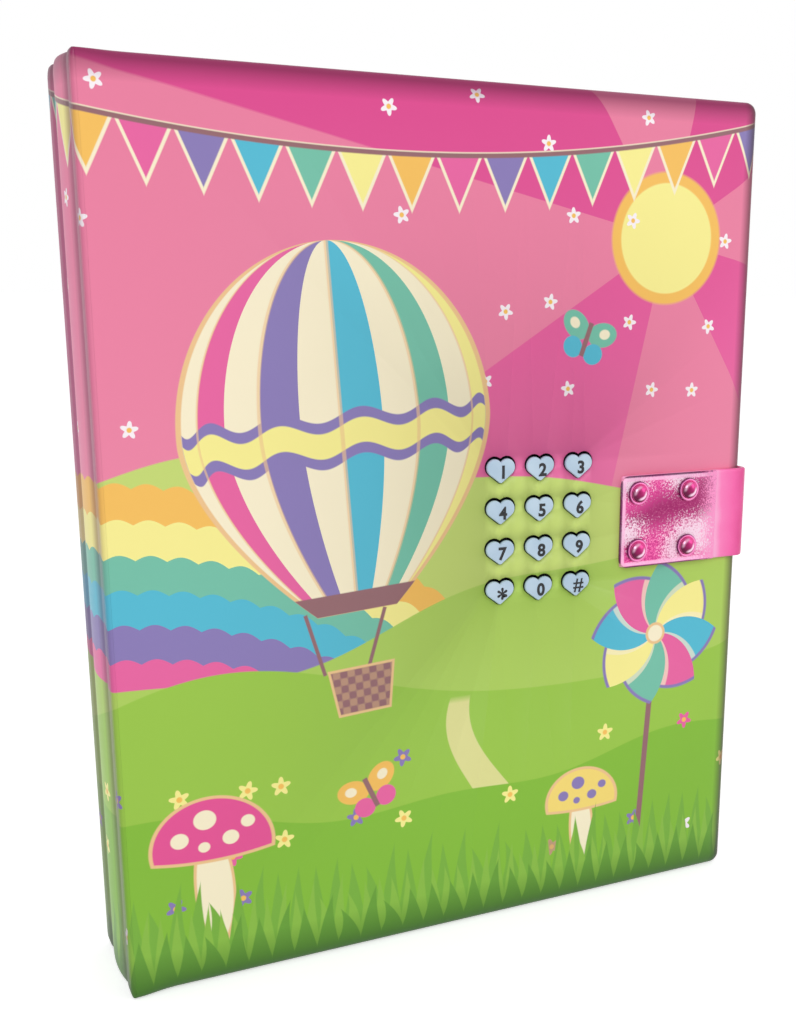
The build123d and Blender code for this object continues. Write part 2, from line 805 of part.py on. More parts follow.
with BuildPart() as inner_case:
    block(case_x, (case_rim_depth, case_back), case_z)
    fillet(inner_case.edges().filter_by(Axis.Y), case_corner)
    block((inside_x[0], partition_x[0]), (case_rim_depth, case_floor_front), inside_z, mode=Mode.SUBTRACT)
    block(electronics_x, (case_rim_depth, case_floor_front), inside_z, mode=Mode.SUBTRACT)
    block(partition_x, (case_rim_depth, deck_back_depth), inside_z, mode=Mode.SUBTRACT)
    for places, radius, top in (
        (deck_bosses, boss_radius, deck_back_depth),
        ([door_boss], boss_radius, deck_back_depth),
        (pcb_posts, pcb_post_radius, main_pcb_back),
    ):
        with BuildSketch(upright(top)):
            with Locations(*places):
                Circle(radius)
        extrude(amount=-(case_floor_front - top))
    with BuildSketch(upright(deck_back_depth)):
        with Locations(*deck_bosses, door_boss):
            Circle(screw_radius + screw_hole_gap)
    extrude(amount=-deck_screw_length, mode=Mode.SUBTRACT)
    # the notch that the tongue enters, the cable's channel and its way up
    block((inside_x[1], case_x[1]), (case_rim_depth, slot_bottom_depth), slot_z, mode=Mode.SUBTRACT)
    ribbon_up_x = (x_fore - ribbon_rise_place, x_fore - ribbon_rise_place + ribbon_sheet)
    block(
        (case_x[0], ribbon_up_x[1] + ribbon_slot_gap),
        (case_back - ribbon_sheet - lining_gap, case_back),
        ribbon_slot_z,
        mode=Mode.SUBTRACT,
    )
    block(
        (ribbon_up_x[0] - ribbon_slot_gap, ribbon_up_x[1] + ribbon_slot_gap),
        (case_floor_front, case_back),
        ribbon_slot_z,
        mode=Mode.SUBTRACT,
    )
pieces["inner_case"] = inner_case

deck_x = (partition_x[0], inside_x[1] - deck_gap)
deck_z = (inside_z[0] + deck_gap, inside_z[1] - deck_gap)
door_x = (electronics_x[0] + battery_door_inset, electronics_x[1] - battery_door_inset)
door_z = (battery_door_low, battery_door_high)
slot_x_end = x_fore - tongue_reach - slot_end_gap

with BuildPart() as electronics_deck:
    block(deck_x, (deck_front_depth, deck_back_depth), deck_z)
    with Locations(*[Plane((x, depth(deck_front_depth), z), z_dir=(0, -1, 0)) for x, z in deck_bosses]):
        CounterSinkHole(
            screw_radius + screw_hole_gap,
            screw_head_radius + screw_hole_gap,
            counter_sink_angle=90,
        )
    block(
        (door_x[0] - battery_door_gap, door_x[1] + battery_door_gap),
        (deck_front_depth, deck_back_depth),
        (door_z[0] - battery_door_gap, door_z[1] + battery_door_gap),
        mode=Mode.SUBTRACT,
    )
    block((slot_x_end, deck_x[1]), (deck_front_depth, deck_back_depth), slot_z, mode=Mode.SUBTRACT)
    with BuildSketch(upright(deck_front_depth)):
        with Locations((electronics_middle, speaker_z)):
            Circle(grille_hole_radius)
            for ring in range(1, grille_ring_count + 1):
                with PolarLocations(ring * grille_ring_pitch, 6 * ring):
                    Circle(grille_hole_radius)
    extrude(amount=-deck_sheet, mode=Mode.SUBTRACT)
pieces["electronics_deck"] = electronics_deck

with BuildPart() as deck_screws:
    for x, z in deck_bosses:
        countersunk_screw(x, deck_front_depth, z, -1, deck_screw_length)
pieces["deck_screws"] = deck_screws

with BuildPart() as battery_door:
    block(door_x, (deck_front_depth, deck_front_depth + battery_door_sheet), door_z)
    with Locations(Plane((door_boss[0], depth(deck_front_depth), door_boss[1]), z_dir=(0, -1, 0))):
        CounterSinkHole(
            screw_radius + screw_hole_gap,
            screw_head_radius + screw_hole_gap,
            counter_sink_angle=90,
        )
    for grip in range(door_grip_count):
        z = door_grip_z + grip * door_grip_pitch
        block(
            around(electronics_middle, door_grip_length),
            (deck_front_depth, deck_front_depth + door_grip_cut),
            around(z, door_grip_width),
            mode=Mode.SUBTRACT,
        )
pieces["battery_door"] = battery_door

with BuildPart() as battery_door_screw:
    countersunk_screw(door_boss[0], deck_front_depth, door_boss[1], -1, deck_screw_length)
pieces["battery_door_screw"] = battery_door_screw

# ---------------------------------------------------------------- batteries

battery_box_x = (electronics_x[0] + battery_box_gap, electronics_x[1] - battery_box_gap)
cells_inside_z = (
    battery_box_low + battery_box_wall,
    battery_box_low
    + battery_box_wall
    + 2 * (contact_gap + contact_sheet)
    + battery_spring_length
    + cell_length
    + cell_nub_length,
)
battery_box_z = (battery_box_low, cells_inside_z[1] + battery_box_wall)
battery_front = deck_back_depth + deck_gap
battery_floor = battery_front + cell_top_gap + 2 * cell_radius + cell_floor_gap
cell_depth = battery_floor - cell_floor_gap - cell_radius
battery_box_back = case_floor_front - lining_gap

with BuildPart() as battery_box:
    block(battery_box_x, (battery_front, battery_box_back), battery_box_z)
    block(
        around(electronics_middle, 3 * cell_pitch),
        (battery_front, battery_floor),
        cells_inside_z,
        mode=Mode.SUBTRACT,
    )
    block(
        around(electronics_middle, 3 * cell_pitch),
        (battery_floor + battery_box_wall, battery_box_back),
        (cells_inside_z[0], battery_box_z[1]),
        mode=Mode.SUBTRACT,
    )
pieces["battery_box"] = battery_box

cell_z = {}
with BuildPart() as batteries:
    for index in (-1, 0, 1):
        upwards = index != 0
        low = cells_inside_z[0] + contact_gap + contact_sheet
        low += battery_spring_length if upwards else cell_nub_length
        cell_z[index] = low
        x = electronics_middle + index * cell_pitch
        with Locations((x, depth(cell_depth), low)):
            Cylinder(cell_radius, cell_length, align=(Align.CENTER, Align.CENTER, Align.MIN))
        nub = low + cell_length if upwards else low - cell_nub_length
        with Locations((x, depth(cell_depth), nub)):
            Cylinder(cell_nub_radius, cell_nub_length, align=(Align.CENTER, Align.CENTER, Align.MIN))
pieces["batteries"] = batteries

with BuildPart() as battery_contacts:
    for index in (-1, 0, 1):
        x = electronics_middle + index * cell_pitch
        for end, side in ((cells_inside_z[0], 1), (cells_inside_z[1], -1)):
            plate = sorted((end + side * contact_gap, end + side * (contact_gap + contact_sheet)))
            block(around(x, contact_size), around(cell_depth, contact_size), plate)
        spring_low = cell_z[index] - battery_spring_length if index else cell_z[index] + cell_length
        radii = (battery_spring_wide, battery_spring_narrow)
        with Locations((x, depth(cell_depth), spring_low)):
            Cone(
                *(radii if index else radii[::-1]),
                battery_spring_length,
                align=(Align.CENTER, Align.CENTER, Align.MIN),
            )
pieces["battery_contacts"] = battery_contacts

# ---------------------------------------------------------------- lock

lock_x = (slot_x_end - lock_housing_wall, inside_x[1] - lock_housing_gap)
lock_front = deck_back_depth + lock_housing_gap
lock_back = case_floor_front - lining_gap
lock_z = (strap_z - lock_housing_half_height, strap_z + lock_housing_half_height)
collar_top = lock_z[0] - bolt_travel - bolt_collar_gap
solenoid_top = collar_top - bolt_collar_height - bolt_collar_gap
solenoid_z = (solenoid_top - solenoid_height, solenoid_top)
solenoid_x = around(bolt_x, solenoid_width)
solenoid_depths = around(bolt_axis_depth, solenoid_width)
bolt_top = strap_z - tongue_thickness / 2 - bolt_rest_gap
bolt_low = solenoid_top - plunger_depth
bolt_bore = bolt_radius + bolt_bore_gap


def bolt_hole(z_span, radius):
    """A hole about the bolt's axis."""
    with BuildSketch(level(z_span[0])) as circle:
        with Locations((bolt_x, depth(bolt_axis_depth))):
            Circle(radius)
    extrude(circle.sketch, amount=z_span[1] - z_span[0], mode=Mode.SUBTRACT)


with BuildPart() as lock_housing:
    block(lock_x, (lock_front, lock_back), lock_z)
    block(lock_x, (solenoid_depths[1] + lock_housing_gap, lock_back), (solenoid_z[0], lock_z[0]))
    block((slot_x_end, lock_x[1]), (lock_front, slot_bottom_depth), slot_z, mode=Mode.SUBTRACT)
    bolt_hole((lock_z[0], bolt_top + bolt_travel + bolt_rest_gap), bolt_bore)
pieces["lock_housing"] = lock_housing

with BuildPart() as solenoid_frame:
    block(solenoid_x, solenoid_depths, solenoid_z)
    block(
        solenoid_x,
        around(bolt_axis_depth, solenoid_width - 2 * solenoid_frame_sheet),
        (solenoid_z[0] + solenoid_frame_sheet, solenoid_z[1] - solenoid_frame_sheet),
        mode=Mode.SUBTRACT,
    )
    bolt_hole((solenoid_z[1] - solenoid_frame_sheet, solenoid_z[1]), bolt_bore)
pieces["solenoid_frame"] = solenoid_frame

with BuildPart() as solenoid_coil:
    with BuildSketch(level(solenoid_z[0] + solenoid_frame_sheet)):
        with Locations((bolt_x, depth(bolt_axis_depth))):
            Circle(solenoid_coil_radius)
    extrude(amount=solenoid_height - 2 * solenoid_frame_sheet)
    bolt_hole((bolt_low - bolt_rest_gap, solenoid_z[1] - solenoid_frame_sheet), bolt_bore)
pieces["solenoid_coil"] = solenoid_coil

with BuildPart() as lock_bolt:
    with Locations((bolt_x, depth(bolt_axis_depth), bolt_low)):
        Cylinder(bolt_radius, bolt_top - bolt_low, align=(Align.CENTER, Align.CENTER, Align.MIN))
    chamfer(lock_bolt.edges().group_by(Axis.Z)[-1], bolt_rest_gap)
    with Locations((bolt_x, depth(bolt_axis_depth), collar_top)):
        Cylinder(bolt_collar_radius, bolt_collar_height, align=(Align.CENTER, Align.CENTER, Align.MAX))
pieces["lock_bolt"] = lock_bolt

# ---------------------------------------------------------------- loudspeaker

speaker_front = deck_back_depth + deck_gap
basket_back = speaker_front + speaker_basket_height


def speaker_ring(d, height, radius, mode=Mode.ADD):
    """A disc on the loudspeaker's axis, from d behind the front face."""
    with BuildSketch(upright(d)) as circle:
        with Locations((electronics_middle, speaker_z)):
            Circle(radius)
    extrude(circle.sketch, amount=-height, mode=mode)


with BuildPart() as speaker:
    speaker_ring(speaker_front, speaker_rim_height, speaker_radius)
    speaker_ring(speaker_front, speaker_basket_height, speaker_basket_radius)
    speaker_ring(basket_back, speaker_magnet_height, speaker_magnet_radius)
    speaker_ring(
        speaker_front,
        speaker_basket_height - speaker_wall,
        speaker_basket_radius - speaker_wall,
        mode=Mode.SUBTRACT,
    )
pieces["speaker"] = speaker

cone_reach = speaker_basket_radius - speaker_wall - lining_gap
cone_drop = speaker_basket_height - speaker_wall - speaker_cone_sheet - lining_gap

with BuildPart() as speaker_cone:
    with Locations(Plane((electronics_middle, depth(speaker_front), speaker_z), z_dir=(0, 1, 0))):
        Cone(cone_reach, cone_reach / 2, cone_drop, align=(Align.CENTER, Align.CENTER, Align.MIN))
    with Locations(
        Plane((electronics_middle, depth(speaker_front - speaker_cone_sheet), speaker_z), z_dir=(0, 1, 0))
    ):
        Cone(
            cone_reach,
            cone_reach / 2,
            cone_drop,
            align=(Align.CENTER, Align.CENTER, Align.MIN),
            mode=Mode.SUBTRACT,
        )
pieces["speaker_cone"] = speaker_cone

# ---------------------------------------------------------------- main circuit board and wiring

main_pcb_x = around(electronics_middle, main_pcb_width)

with BuildPart() as main_circuit_board:
    block(main_pcb_x, (main_pcb_depth, main_pcb_back), (main_pcb_low, main_pcb_high))
pieces["main_circuit_board"] = main_circuit_board

with BuildPart() as board_components:
    with BuildSketch(upright(main_pcb_depth)):
        with Locations((electronics_middle, main_pcb_low + blob_rise)):
            Circle(blob_radius)
    extrude(amount=blob_height, taper=30)
    with BuildSketch(upright(main_pcb_depth)):
        with Locations((electronics_middle + capacitor_offset, main_pcb_low + capacitor_rise)):
            Circle(capacitor_radius)
    extrude(amount=capacitor_height)
    block(
        around(electronics_middle + crystal_offset, crystal_size[0]),
        (main_pcb_depth - crystal_size[1], main_pcb_depth),
        around(main_pcb_low + crystal_rise, crystal_size[2]),
    )
pieces["board_components"] = board_components

with BuildPart() as spine_ribbon_cable:
    block(
        (spine_lining_x[1], spine_lining_x[1] + ribbon_sheet),
        spine_lining_depths,
        ribbon_span_z,
    )
pieces["spine_ribbon_cable"] = spine_ribbon_cable

with BuildPart() as base_ribbon_cable:
    block((x_fold + ribbon_fold_gap, ribbon_up_x[1]), (case_back - ribbon_sheet, case_back), ribbon_span_z)
    block(ribbon_up_x, (main_pcb_back, case_back), ribbon_span_z)
pieces["base_ribbon_cable"] = base_ribbon_cable

battery_wire_depth = battery_floor + battery_box_wall + 2 * wire_radius
battery_wire_turn = main_pcb_low - 2 * wire_bend
coil_left = bolt_x - solenoid_coil_radius
coil_z = sum(solenoid_z) / 2

with BuildPart() as inner_wires:
    for index in (0, 1):
        shift = index * wire_pitch
        routes = [
            [
                (electronics_x[0] + 3 * wire_bend + shift, battery_wire_depth, battery_box_z[1] - wire_bend),
                (electronics_x[0] + 3 * wire_bend + shift, battery_wire_depth, battery_wire_turn),
                (electronics_x[0] + 3 * wire_bend + shift, main_pcb_depth + pcb_sheet / 2, main_pcb_low - wire_radius),
            ],
            [
                (coil_left, bolt_axis_depth, coil_z - shift),
                (coil_left - 2 * wire_bend - shift, bolt_axis_depth, coil_z - shift),
                (coil_left - 2 * wire_bend - shift, bolt_axis_depth, main_pcb_low + 2 * wire_bend),
                (coil_left - 2 * wire_bend - shift, main_pcb_depth, main_pcb_low + 2 * wire_bend),
            ],
            [
                (electronics_middle + speaker_magnet_radius + wire_pitch + shift, basket_back, speaker_z),
                (electronics_middle + speaker_magnet_radius + wire_pitch + shift, main_pcb_depth, speaker_z),
            ],
        ]
        for route in routes:
            points = [(x, depth(d), z) for x, d, z in route]
            with BuildLine() as path:
                if len(points) > 2:
                    FilletPolyline(*points, radius=wire_bend * 0.9)
                else:
                    Line(*points)
            with BuildSketch(Plane(path.line @ 0, z_dir=path.line % 0)):
                Circle(wire_radius)
            sweep(path=path.line)
pieces["inner_wires"] = inner_wires

# ---------------------------------------------------------------- notebook

leaf_low, leaf_high = inside_z[0] + page_head_gap, inside_z[1] - page_head_gap
page_right = partition_x[0] - page_side_gap
page_block_left = inside_x[0] + page_left_gap
page_block_front = leaf_front_depth + 2 * (leaf_bundle + leaf_gap)
page_block_back = case_floor_front - lining_gap / 2

with BuildPart() as page_block:
    block((page_block_left, page_right), (page_block_front, page_block_back), (leaf_low, leaf_high))
pieces["page_block"] = page_block

with BuildPart() as binding_strip:
    block(
        (page_block_left - page_binding_sheet, page_block_left),
        (page_block_front, page_block_back),
        (leaf_low, leaf_high),
    )
pieces["binding_strip"] = binding_strip

for index, name in enumerate(("front_leaves", "middle_leaves")):
    left = inside_x[0] + leaf_wall_gap + leaf_bundle + index * leaf_step
    front = leaf_front_depth + index * (leaf_bundle + leaf_gap)
    with BuildPart() as leaves:
        block((left, page_right), (front, front + leaf_bundle), (leaf_low, leaf_high))
    pieces[name] = leaves

# ---------------------------------------------------------------- written pieces

for name, piece in pieces.items():
    piece.part.label = name
    export_step(piece.part, f"parts/{name}.step")
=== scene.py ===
# %% [markdown]
# # A padded secret diary with a heart keypad
# The diary is a hard book: two padded covers and a spine are wrapped in one printed, laminated
# sheet. A keypad of heart-shaped keys sits in the front cover, and a riveted strap wraps round
# the fore-edge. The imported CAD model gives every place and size. This scene adds the soft edges,
# the print, the rivets' polish, the paper and the light.

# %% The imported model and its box
from math import atan2, acos, cos, hypot, pi, radians, sin, sqrt

import bmesh
import bpy
from mathutils import Matrix, Vector


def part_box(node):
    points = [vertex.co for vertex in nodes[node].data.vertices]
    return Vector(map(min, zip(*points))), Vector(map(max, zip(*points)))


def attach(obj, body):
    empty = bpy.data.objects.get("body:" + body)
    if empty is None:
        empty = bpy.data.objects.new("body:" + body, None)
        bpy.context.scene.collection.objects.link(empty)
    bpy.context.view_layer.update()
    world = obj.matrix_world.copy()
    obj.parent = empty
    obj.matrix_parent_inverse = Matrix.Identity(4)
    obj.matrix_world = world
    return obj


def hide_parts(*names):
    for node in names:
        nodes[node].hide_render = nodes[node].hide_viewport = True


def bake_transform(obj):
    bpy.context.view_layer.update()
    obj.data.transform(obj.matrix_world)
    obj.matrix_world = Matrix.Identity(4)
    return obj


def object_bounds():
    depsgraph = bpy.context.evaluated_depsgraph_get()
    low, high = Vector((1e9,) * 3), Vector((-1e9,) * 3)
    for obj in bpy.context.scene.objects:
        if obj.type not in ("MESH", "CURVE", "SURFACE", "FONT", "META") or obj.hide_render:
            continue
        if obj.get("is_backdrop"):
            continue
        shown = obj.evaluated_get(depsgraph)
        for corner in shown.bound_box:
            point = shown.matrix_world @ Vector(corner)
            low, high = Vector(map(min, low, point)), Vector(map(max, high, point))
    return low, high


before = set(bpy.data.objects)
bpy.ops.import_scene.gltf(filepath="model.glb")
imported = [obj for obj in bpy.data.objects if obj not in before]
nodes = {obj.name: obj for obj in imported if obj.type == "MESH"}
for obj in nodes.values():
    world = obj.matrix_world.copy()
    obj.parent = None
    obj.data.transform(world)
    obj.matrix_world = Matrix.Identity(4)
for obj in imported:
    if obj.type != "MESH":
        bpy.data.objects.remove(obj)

cad_box = [list(corner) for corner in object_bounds()]
print("CAD box in mm:", [[round(v * 1000, 2) for v in corner] for corner in cad_box])

# %% [markdown]
# ## Sizes
# The drawing of the diary is in millimetres, so the sizes below are too, and every mesh is scaled
# to metres when it is made. A place on the front is told by `a`, the distance from the spine's
# fold, `b`, the height, and `c`, the depth behind the front face. The same three letters serve
# the back cover, counted from the back face.

# %% Sizes of the covers, spine, keys and strap
MM = 0.001
WIDTH, HEIGHT, THICK = 178.5, 222.0, 34.0
WRAP, FOLD_WRAP = 0.5, 0.45
FOLD = 1.2
STRAP_Z = 110.4
KEY_Z, KEYS_FROM_EDGE = 110.5, 65.9
X_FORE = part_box("front_wrap")[1].x / MM
KEY_X = X_FORE - KEYS_FROM_EDGE
X_FOLD = X_FORE - WIDTH
Y_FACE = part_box("front_wrap")[0].y / MM
Y_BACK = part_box("back_wrap")[1].y / MM
print("fold at x", round(X_FOLD, 2), "faces at y", round(Y_FACE, 2), "and", round(Y_BACK, 2))


def front(a, b, c):
    """A place on the front cover, in the model's frame."""
    return Vector((X_FOLD + a, Y_FACE + c, b))


def back(a, b, c):
    """A place on the back cover, in the model's frame."""
    return Vector((X_FOLD + a, Y_BACK - c, b))


def smooth(t):
    """An even step from 0 to 1."""
    t = min(max(t, 0.0), 1.0)
    return t * t * (3 - 2 * t)


# %% [markdown]
# ## Node graphs written as arithmetic
# A material is a graph of small nodes. Wiring each one by hand hides the idea, so a socket is
# wrapped in a class that knows plus, minus and times. `1 - mask` then adds its own Math node.
# Every other kind of node comes from one method, which sets the node's own choices first and its
# sockets after.

# %% A socket with arithmetic, and a graph that makes nodes
class Wire:
    """One output socket of a graph, with plain arithmetic."""

    def __init__(self, graph, socket):
        self.graph, self.socket = graph, socket

    def maths(self, operation, *values, clamp=False):
        settings = {"operation": operation, "use_clamp": clamp}
        return self.graph.node("ShaderNodeMath", settings, dict(enumerate(values)))

    def __add__(self, other):
        return self.maths("ADD", self, other)

    def __sub__(self, other):
        return self.maths("SUBTRACT", self, other)

    def __rsub__(self, other):
        return self.maths("SUBTRACT", other, self)

    def __mul__(self, other):
        return self.maths("MULTIPLY", self, other)

    def __truediv__(self, other):
        return self.maths("DIVIDE", self, other)

    def __rtruediv__(self, other):
        return self.maths("DIVIDE", other, self)

    def __pow__(self, other):
        return self.maths("POWER", self, other)

    def __neg__(self):
        return self.maths("MULTIPLY", self, -1.0)

    def __abs__(self):
        return self.maths("ABSOLUTE", self)

    __radd__ = __add__
    __rmul__ = __mul__

    def sin(self):
        return self.maths("SINE", self)

    def floor(self):
        return self.maths("FLOOR", self)

    def fract(self):
        return self.maths("FRACT", self)

    def least(self, other):
        return self.maths("MINIMUM", self, other)

    def most(self, other):
        return self.maths("MAXIMUM", self, other)

    def angle(self, across):
        """The angle of a place that lies this high and that far across."""
        return self.maths("ARCTAN2", self, across)

    def soft(self, edge=0.3):
        """1 where this length in mm is positive and 0 where it isn't, over a soft edge."""
        return self.maths("MULTIPLY_ADD", self, 1 / edge, 0.5, clamp=True)


class Graph:
    """A node tree that is written in order."""

    def __init__(self, tree):
        self.tree = tree

    def node(self, kind, settings=None, inputs=None, output=0):
        made = self.tree.nodes.new(kind)
        settings = dict(settings or {})
        interpolation, stops = settings.pop("ramp", ("LINEAR", []))
        for name, value in settings.items():
            setattr(made, name, value)
        if stops:
            made.color_ramp.interpolation = interpolation
        while stops and len(made.color_ramp.elements) < len(stops):
            made.color_ramp.elements.new(0.5)
        for index, (place, colour) in enumerate(stops):
            made.color_ramp.elements[index].position = place
            made.color_ramp.elements[index].color = colour
        for name, value in (inputs or {}).items():
            if isinstance(value, Wire):
                self.tree.links.new(value.socket, made.inputs[name])
            else:
                made.inputs[name].default_value = value
        return Wire(self, made.outputs[output])


# %% [markdown]
# ## Colours and finishes
# Colours are written as the 0 to 255 values that a paint chart gives, and turned into the linear
# light that a shader works in. A finish is a graph that already holds a Principled shader and
# knows the three ways a surface gets its pattern here: from its own UV map, from the object's
# own metres, or from the way it faces.

# %% Paint colours, and a finish with a Principled shader
def paint(red, green, blue):
    """A colour from its 0 to 255 values, as the linear colour that a shader works in."""
    linear = []
    for value in (red / 255, green / 255, blue / 255):
        linear.append(value / 12.92 if value <= 0.04045 else ((value + 0.055) / 1.055) ** 2.4)
    return (*linear, 1.0)


class Finish(Graph):
    """A material with one Principled shader."""

    def __init__(self, name, **fixed):
        self.material = bpy.data.materials.new(name)
        self.material.use_nodes = True
        super().__init__(self.material.node_tree)
        self.tree.nodes.clear()
        self.shader = self.node("ShaderNodeBsdfPrincipled")
        ending = self.tree.nodes.new("ShaderNodeOutputMaterial")
        self.tree.links.new(self.shader.socket, ending.inputs["Surface"])
        for socket, value in fixed.items():
            self.set(socket.replace("_", " "), value)

    def set(self, socket, value):
        """Gives one socket of the shader a value or a wire."""
        target = self.shader.socket.node.inputs[socket]
        if isinstance(value, Wire):
            self.tree.links.new(value.socket, target)
        else:
            target.default_value = value

    def printed(self):
        """The piece's own print map, in mm."""
        uv = self.node("ShaderNodeUVMap", {"uv_map": "print"})
        return self.vector("SCALE", uv, scale=1000.0)

    def place(self):
        """The place on the object, in mm."""
        at = self.node("ShaderNodeTexCoord", {}, {}, "Object")
        return self.vector("SCALE", at, scale=1000.0)

    def vector(self, operation, *values, scale=None, output=0):
        inputs = dict(enumerate(values))
        if scale is not None:
            inputs["Scale"] = scale
        return self.node("ShaderNodeVectorMath", {"operation": operation}, inputs, output)

    def length(self, vector):
        return self.vector("LENGTH", vector, output="Value")

    def parts(self, vector):
        """The three numbers of a vector."""
        split = self.node("ShaderNodeSeparateXYZ", {}, {0: vector})
        return [Wire(self, socket) for socket in split.socket.node.outputs]

    def join(self, x, y, z=0.0):
        return self.node("ShaderNodeCombineXYZ", {}, {0: x, 1: y, 2: z})

    def over(self, below, above, mask, blend="MIX"):
        """One colour laid over another where the mask is 1."""
        settings = {"data_type": "RGBA", "blend_type": blend}
        return self.node("ShaderNodeMix", settings, {0: mask, 6: below, 7: above}, 2)

    def ramp(self, value, stops, interpolation="LINEAR"):
        return self.node("ShaderNodeValToRGB", {"ramp": (interpolation, stops)}, {0: value})

    def tint(self, value, *stops, interpolation="LINEAR"):
        """Colours the surface by a value, from one stop to the next."""
        self.set("Base Color", self.ramp(value, stops, interpolation))

    def noise(self, vector, scale, detail=2.0, roughness=0.5):
        inputs = {"Vector": vector, "Scale": scale, "Detail": detail, "Roughness": roughness}
        return self.node("ShaderNodeTexNoise", {}, inputs)

    def bump(self, height, distance, strength=1.0, below=None):
        """Feeds a height in parts of the distance, in metres, to the surface."""
        inputs = {"Height": height, "Distance": distance, "Strength": strength}
        if below:
            inputs["Normal"] = below
        normal = self.node("ShaderNodeBump", {}, inputs)
        self.set("Normal", normal)
        return normal


print("sky pink in linear light:", [round(v, 3) for v in paint(236, 102, 164)])

# %% [markdown]
# ## The print: a garden under balloons
# The wrap carries one large picture that runs over the front, the spine and the back: pink sky,
# rows of flowers, green hills, a striped balloon, a pinwheel and toadstools. A photo texture
# would do, but a drawing made of plain shapes stays sharp at any size. Each shape is a mask that
# is 1 inside and 0 outside, measured in millimetres on the unrolled wrap, and each is laid over
# what is there already, as cut paper would be.

# %% Shapes to draw with
class Picture:
    """A drawing on the unrolled wrap: u runs right from the front fold, v runs up."""

    def __init__(self, finish, ground):
        self.finish, self.colour = finish, ground
        self.spot = finish.printed()
        self.u, self.v, _ = finish.parts(self.spot)

    def lay(self, mask, colour):
        self.colour = self.finish.over(self.colour, colour, mask)

    def local(self, at, turn=0.0, size=(1.0, 1.0)):
        """The place seen from a shape's own middle, turned and scaled with it."""
        inputs = {0: self.spot, 1: (*at, 0), 2: (0, 0, radians(turn)), 3: (*size, 1)}
        return self.finish.node("ShaderNodeMapping", {"vector_type": "TEXTURE"}, inputs)

    def length(self, vector):
        return self.finish.length(vector)

    def oval(self, at, size, turn=0.0, grow=0.0):
        """How far inside an oval a place is, in mm."""
        size = (size[0] + grow, size[1] + grow)
        return (1 - self.length(self.local(at, turn, size))) * min(size)

    def bar(self, start, end, half):
        """How far inside a straight bar between two points a place is."""
        middle = ((start[0] + end[0]) / 2, (start[1] + end[1]) / 2)
        along = hypot(end[0] - start[0], end[1] - start[1]) / 2
        turn = atan2(end[1] - start[1], end[0] - start[0]) * 180 / pi
        x, y, _ = self.finish.parts(self.local(middle, turn))
        return (along - abs(x)).least(half - abs(y))

    def wave(self, level, *swells):
        """How far below a rolling line a place is."""
        line = -self.v + level
        for height, span, shift in swells:
            line = line + (self.u / span + shift).sin() * height
        return line


# %% A striped balloon with a basket
RAINBOW = [
    paint(236, 102, 164),
    paint(250, 195, 95),
    paint(253, 243, 150),
    paint(118, 195, 170),
    paint(85, 190, 215),
    paint(140, 125, 185),
]
PINK, AMBER, LEMON, MINT, AQUA, VIOLET = RAINBOW
CREAM, WHITE, ROSE = paint(254, 243, 210), paint(255, 246, 250), paint(233, 84, 152)
OUTLINE = paint(243, 200, 145)
MAUVE = paint(150, 105, 110)


def balloon(picture, at, size):
    """A hot-air balloon of cream and coloured gores, size mm from its middle to its top."""
    finish = picture.finish
    x, y, _ = finish.parts(picture.local(at, 4.0, (size, size)))
    high = y.most(0.0)
    low = (-y).most(0.0)
    round_top = (1 - high * high) ** 0.5
    half = (round_top - low ** 1.7 * 0.66) * 0.92
    edge = ((y + 1.06) * size).least((half - abs(x)) * size - 0.4)
    for side in (-1, 1):
        top = (at[0] + side * size * 0.24, at[1] - size * 1.05)
        end = (at[0] + side * size * 0.13, at[1] - size * 1.42)
        picture.lay(picture.bar(top, end, 0.5).soft(), MAUVE)
    picture.lay(edge.soft(), OUTLINE)
    cloth = (edge - 1.3).soft()
    bulge = x.maths("ARCSINE", x / (half + 0.001))
    stops = []
    for index in range(12):
        colour = CREAM if index % 2 else RAINBOW[(index // 2 * 5 + 1) % 6]
        stops.append((index / 12, colour))
    gores = finish.ramp(bulge / pi + 0.5, stops, "CONSTANT")
    picture.lay(cloth, gores)
    zigzag = (bulge * 12.0).sin() * 0.035
    band = 0.13 - abs(y + 0.06 - zigzag)
    picture.lay(cloth * (band * size).soft(), VIOLET)
    inner = 0.07 - abs(y + 0.06 - zigzag)
    picture.lay(cloth * (inner * size).soft(), LEMON)
    seams = 0.5 - abs((bulge * 6.0).sin()) * half * size * 0.16
    picture.lay(cloth * seams.soft() * 0.6, OUTLINE)
    skirt = (abs(y + 1.0) * -1.0 + 0.06) * size
    picture.lay(skirt.soft() * edge.soft(), MAUVE)
    foot = (at[0] + size * 0.1, at[1] - size * 1.53)
    bx, by, _ = finish.parts(picture.local(foot, 4.0))
    box = (size * 0.17 - abs(bx) + by * 0.15).least(size * 0.13 - abs(by))
    picture.lay((box + 0.7).soft(), OUTLINE)
    picture.lay(box.soft(), MAUVE)
    weave = (bx * 1.6).sin() * (by * 1.6).sin()
    picture.lay(box.soft() * (weave * 2.0).soft(1.0) * 0.35, OUTLINE)


# %% Hills, rows of flowers and blades of grass
def blades(picture, pitch, root, height, seed):
    """A row of leaning blades that stand on a solid band."""
    finish = picture.finish
    along = picture.u / pitch + seed
    cell = along.floor()
    chance = finish.node("ShaderNodeTexWhiteNoise", {"noise_dimensions": "1D"}, {"W": cell})
    up = (picture.v - root) / ((chance * 0.5 + 0.6) * height)
    lean = (chance - 0.5) * up * up * pitch * 0.8
    return ((1 - up) * pitch * 0.42 - abs((along - cell - 0.5) * pitch - lean)).soft()


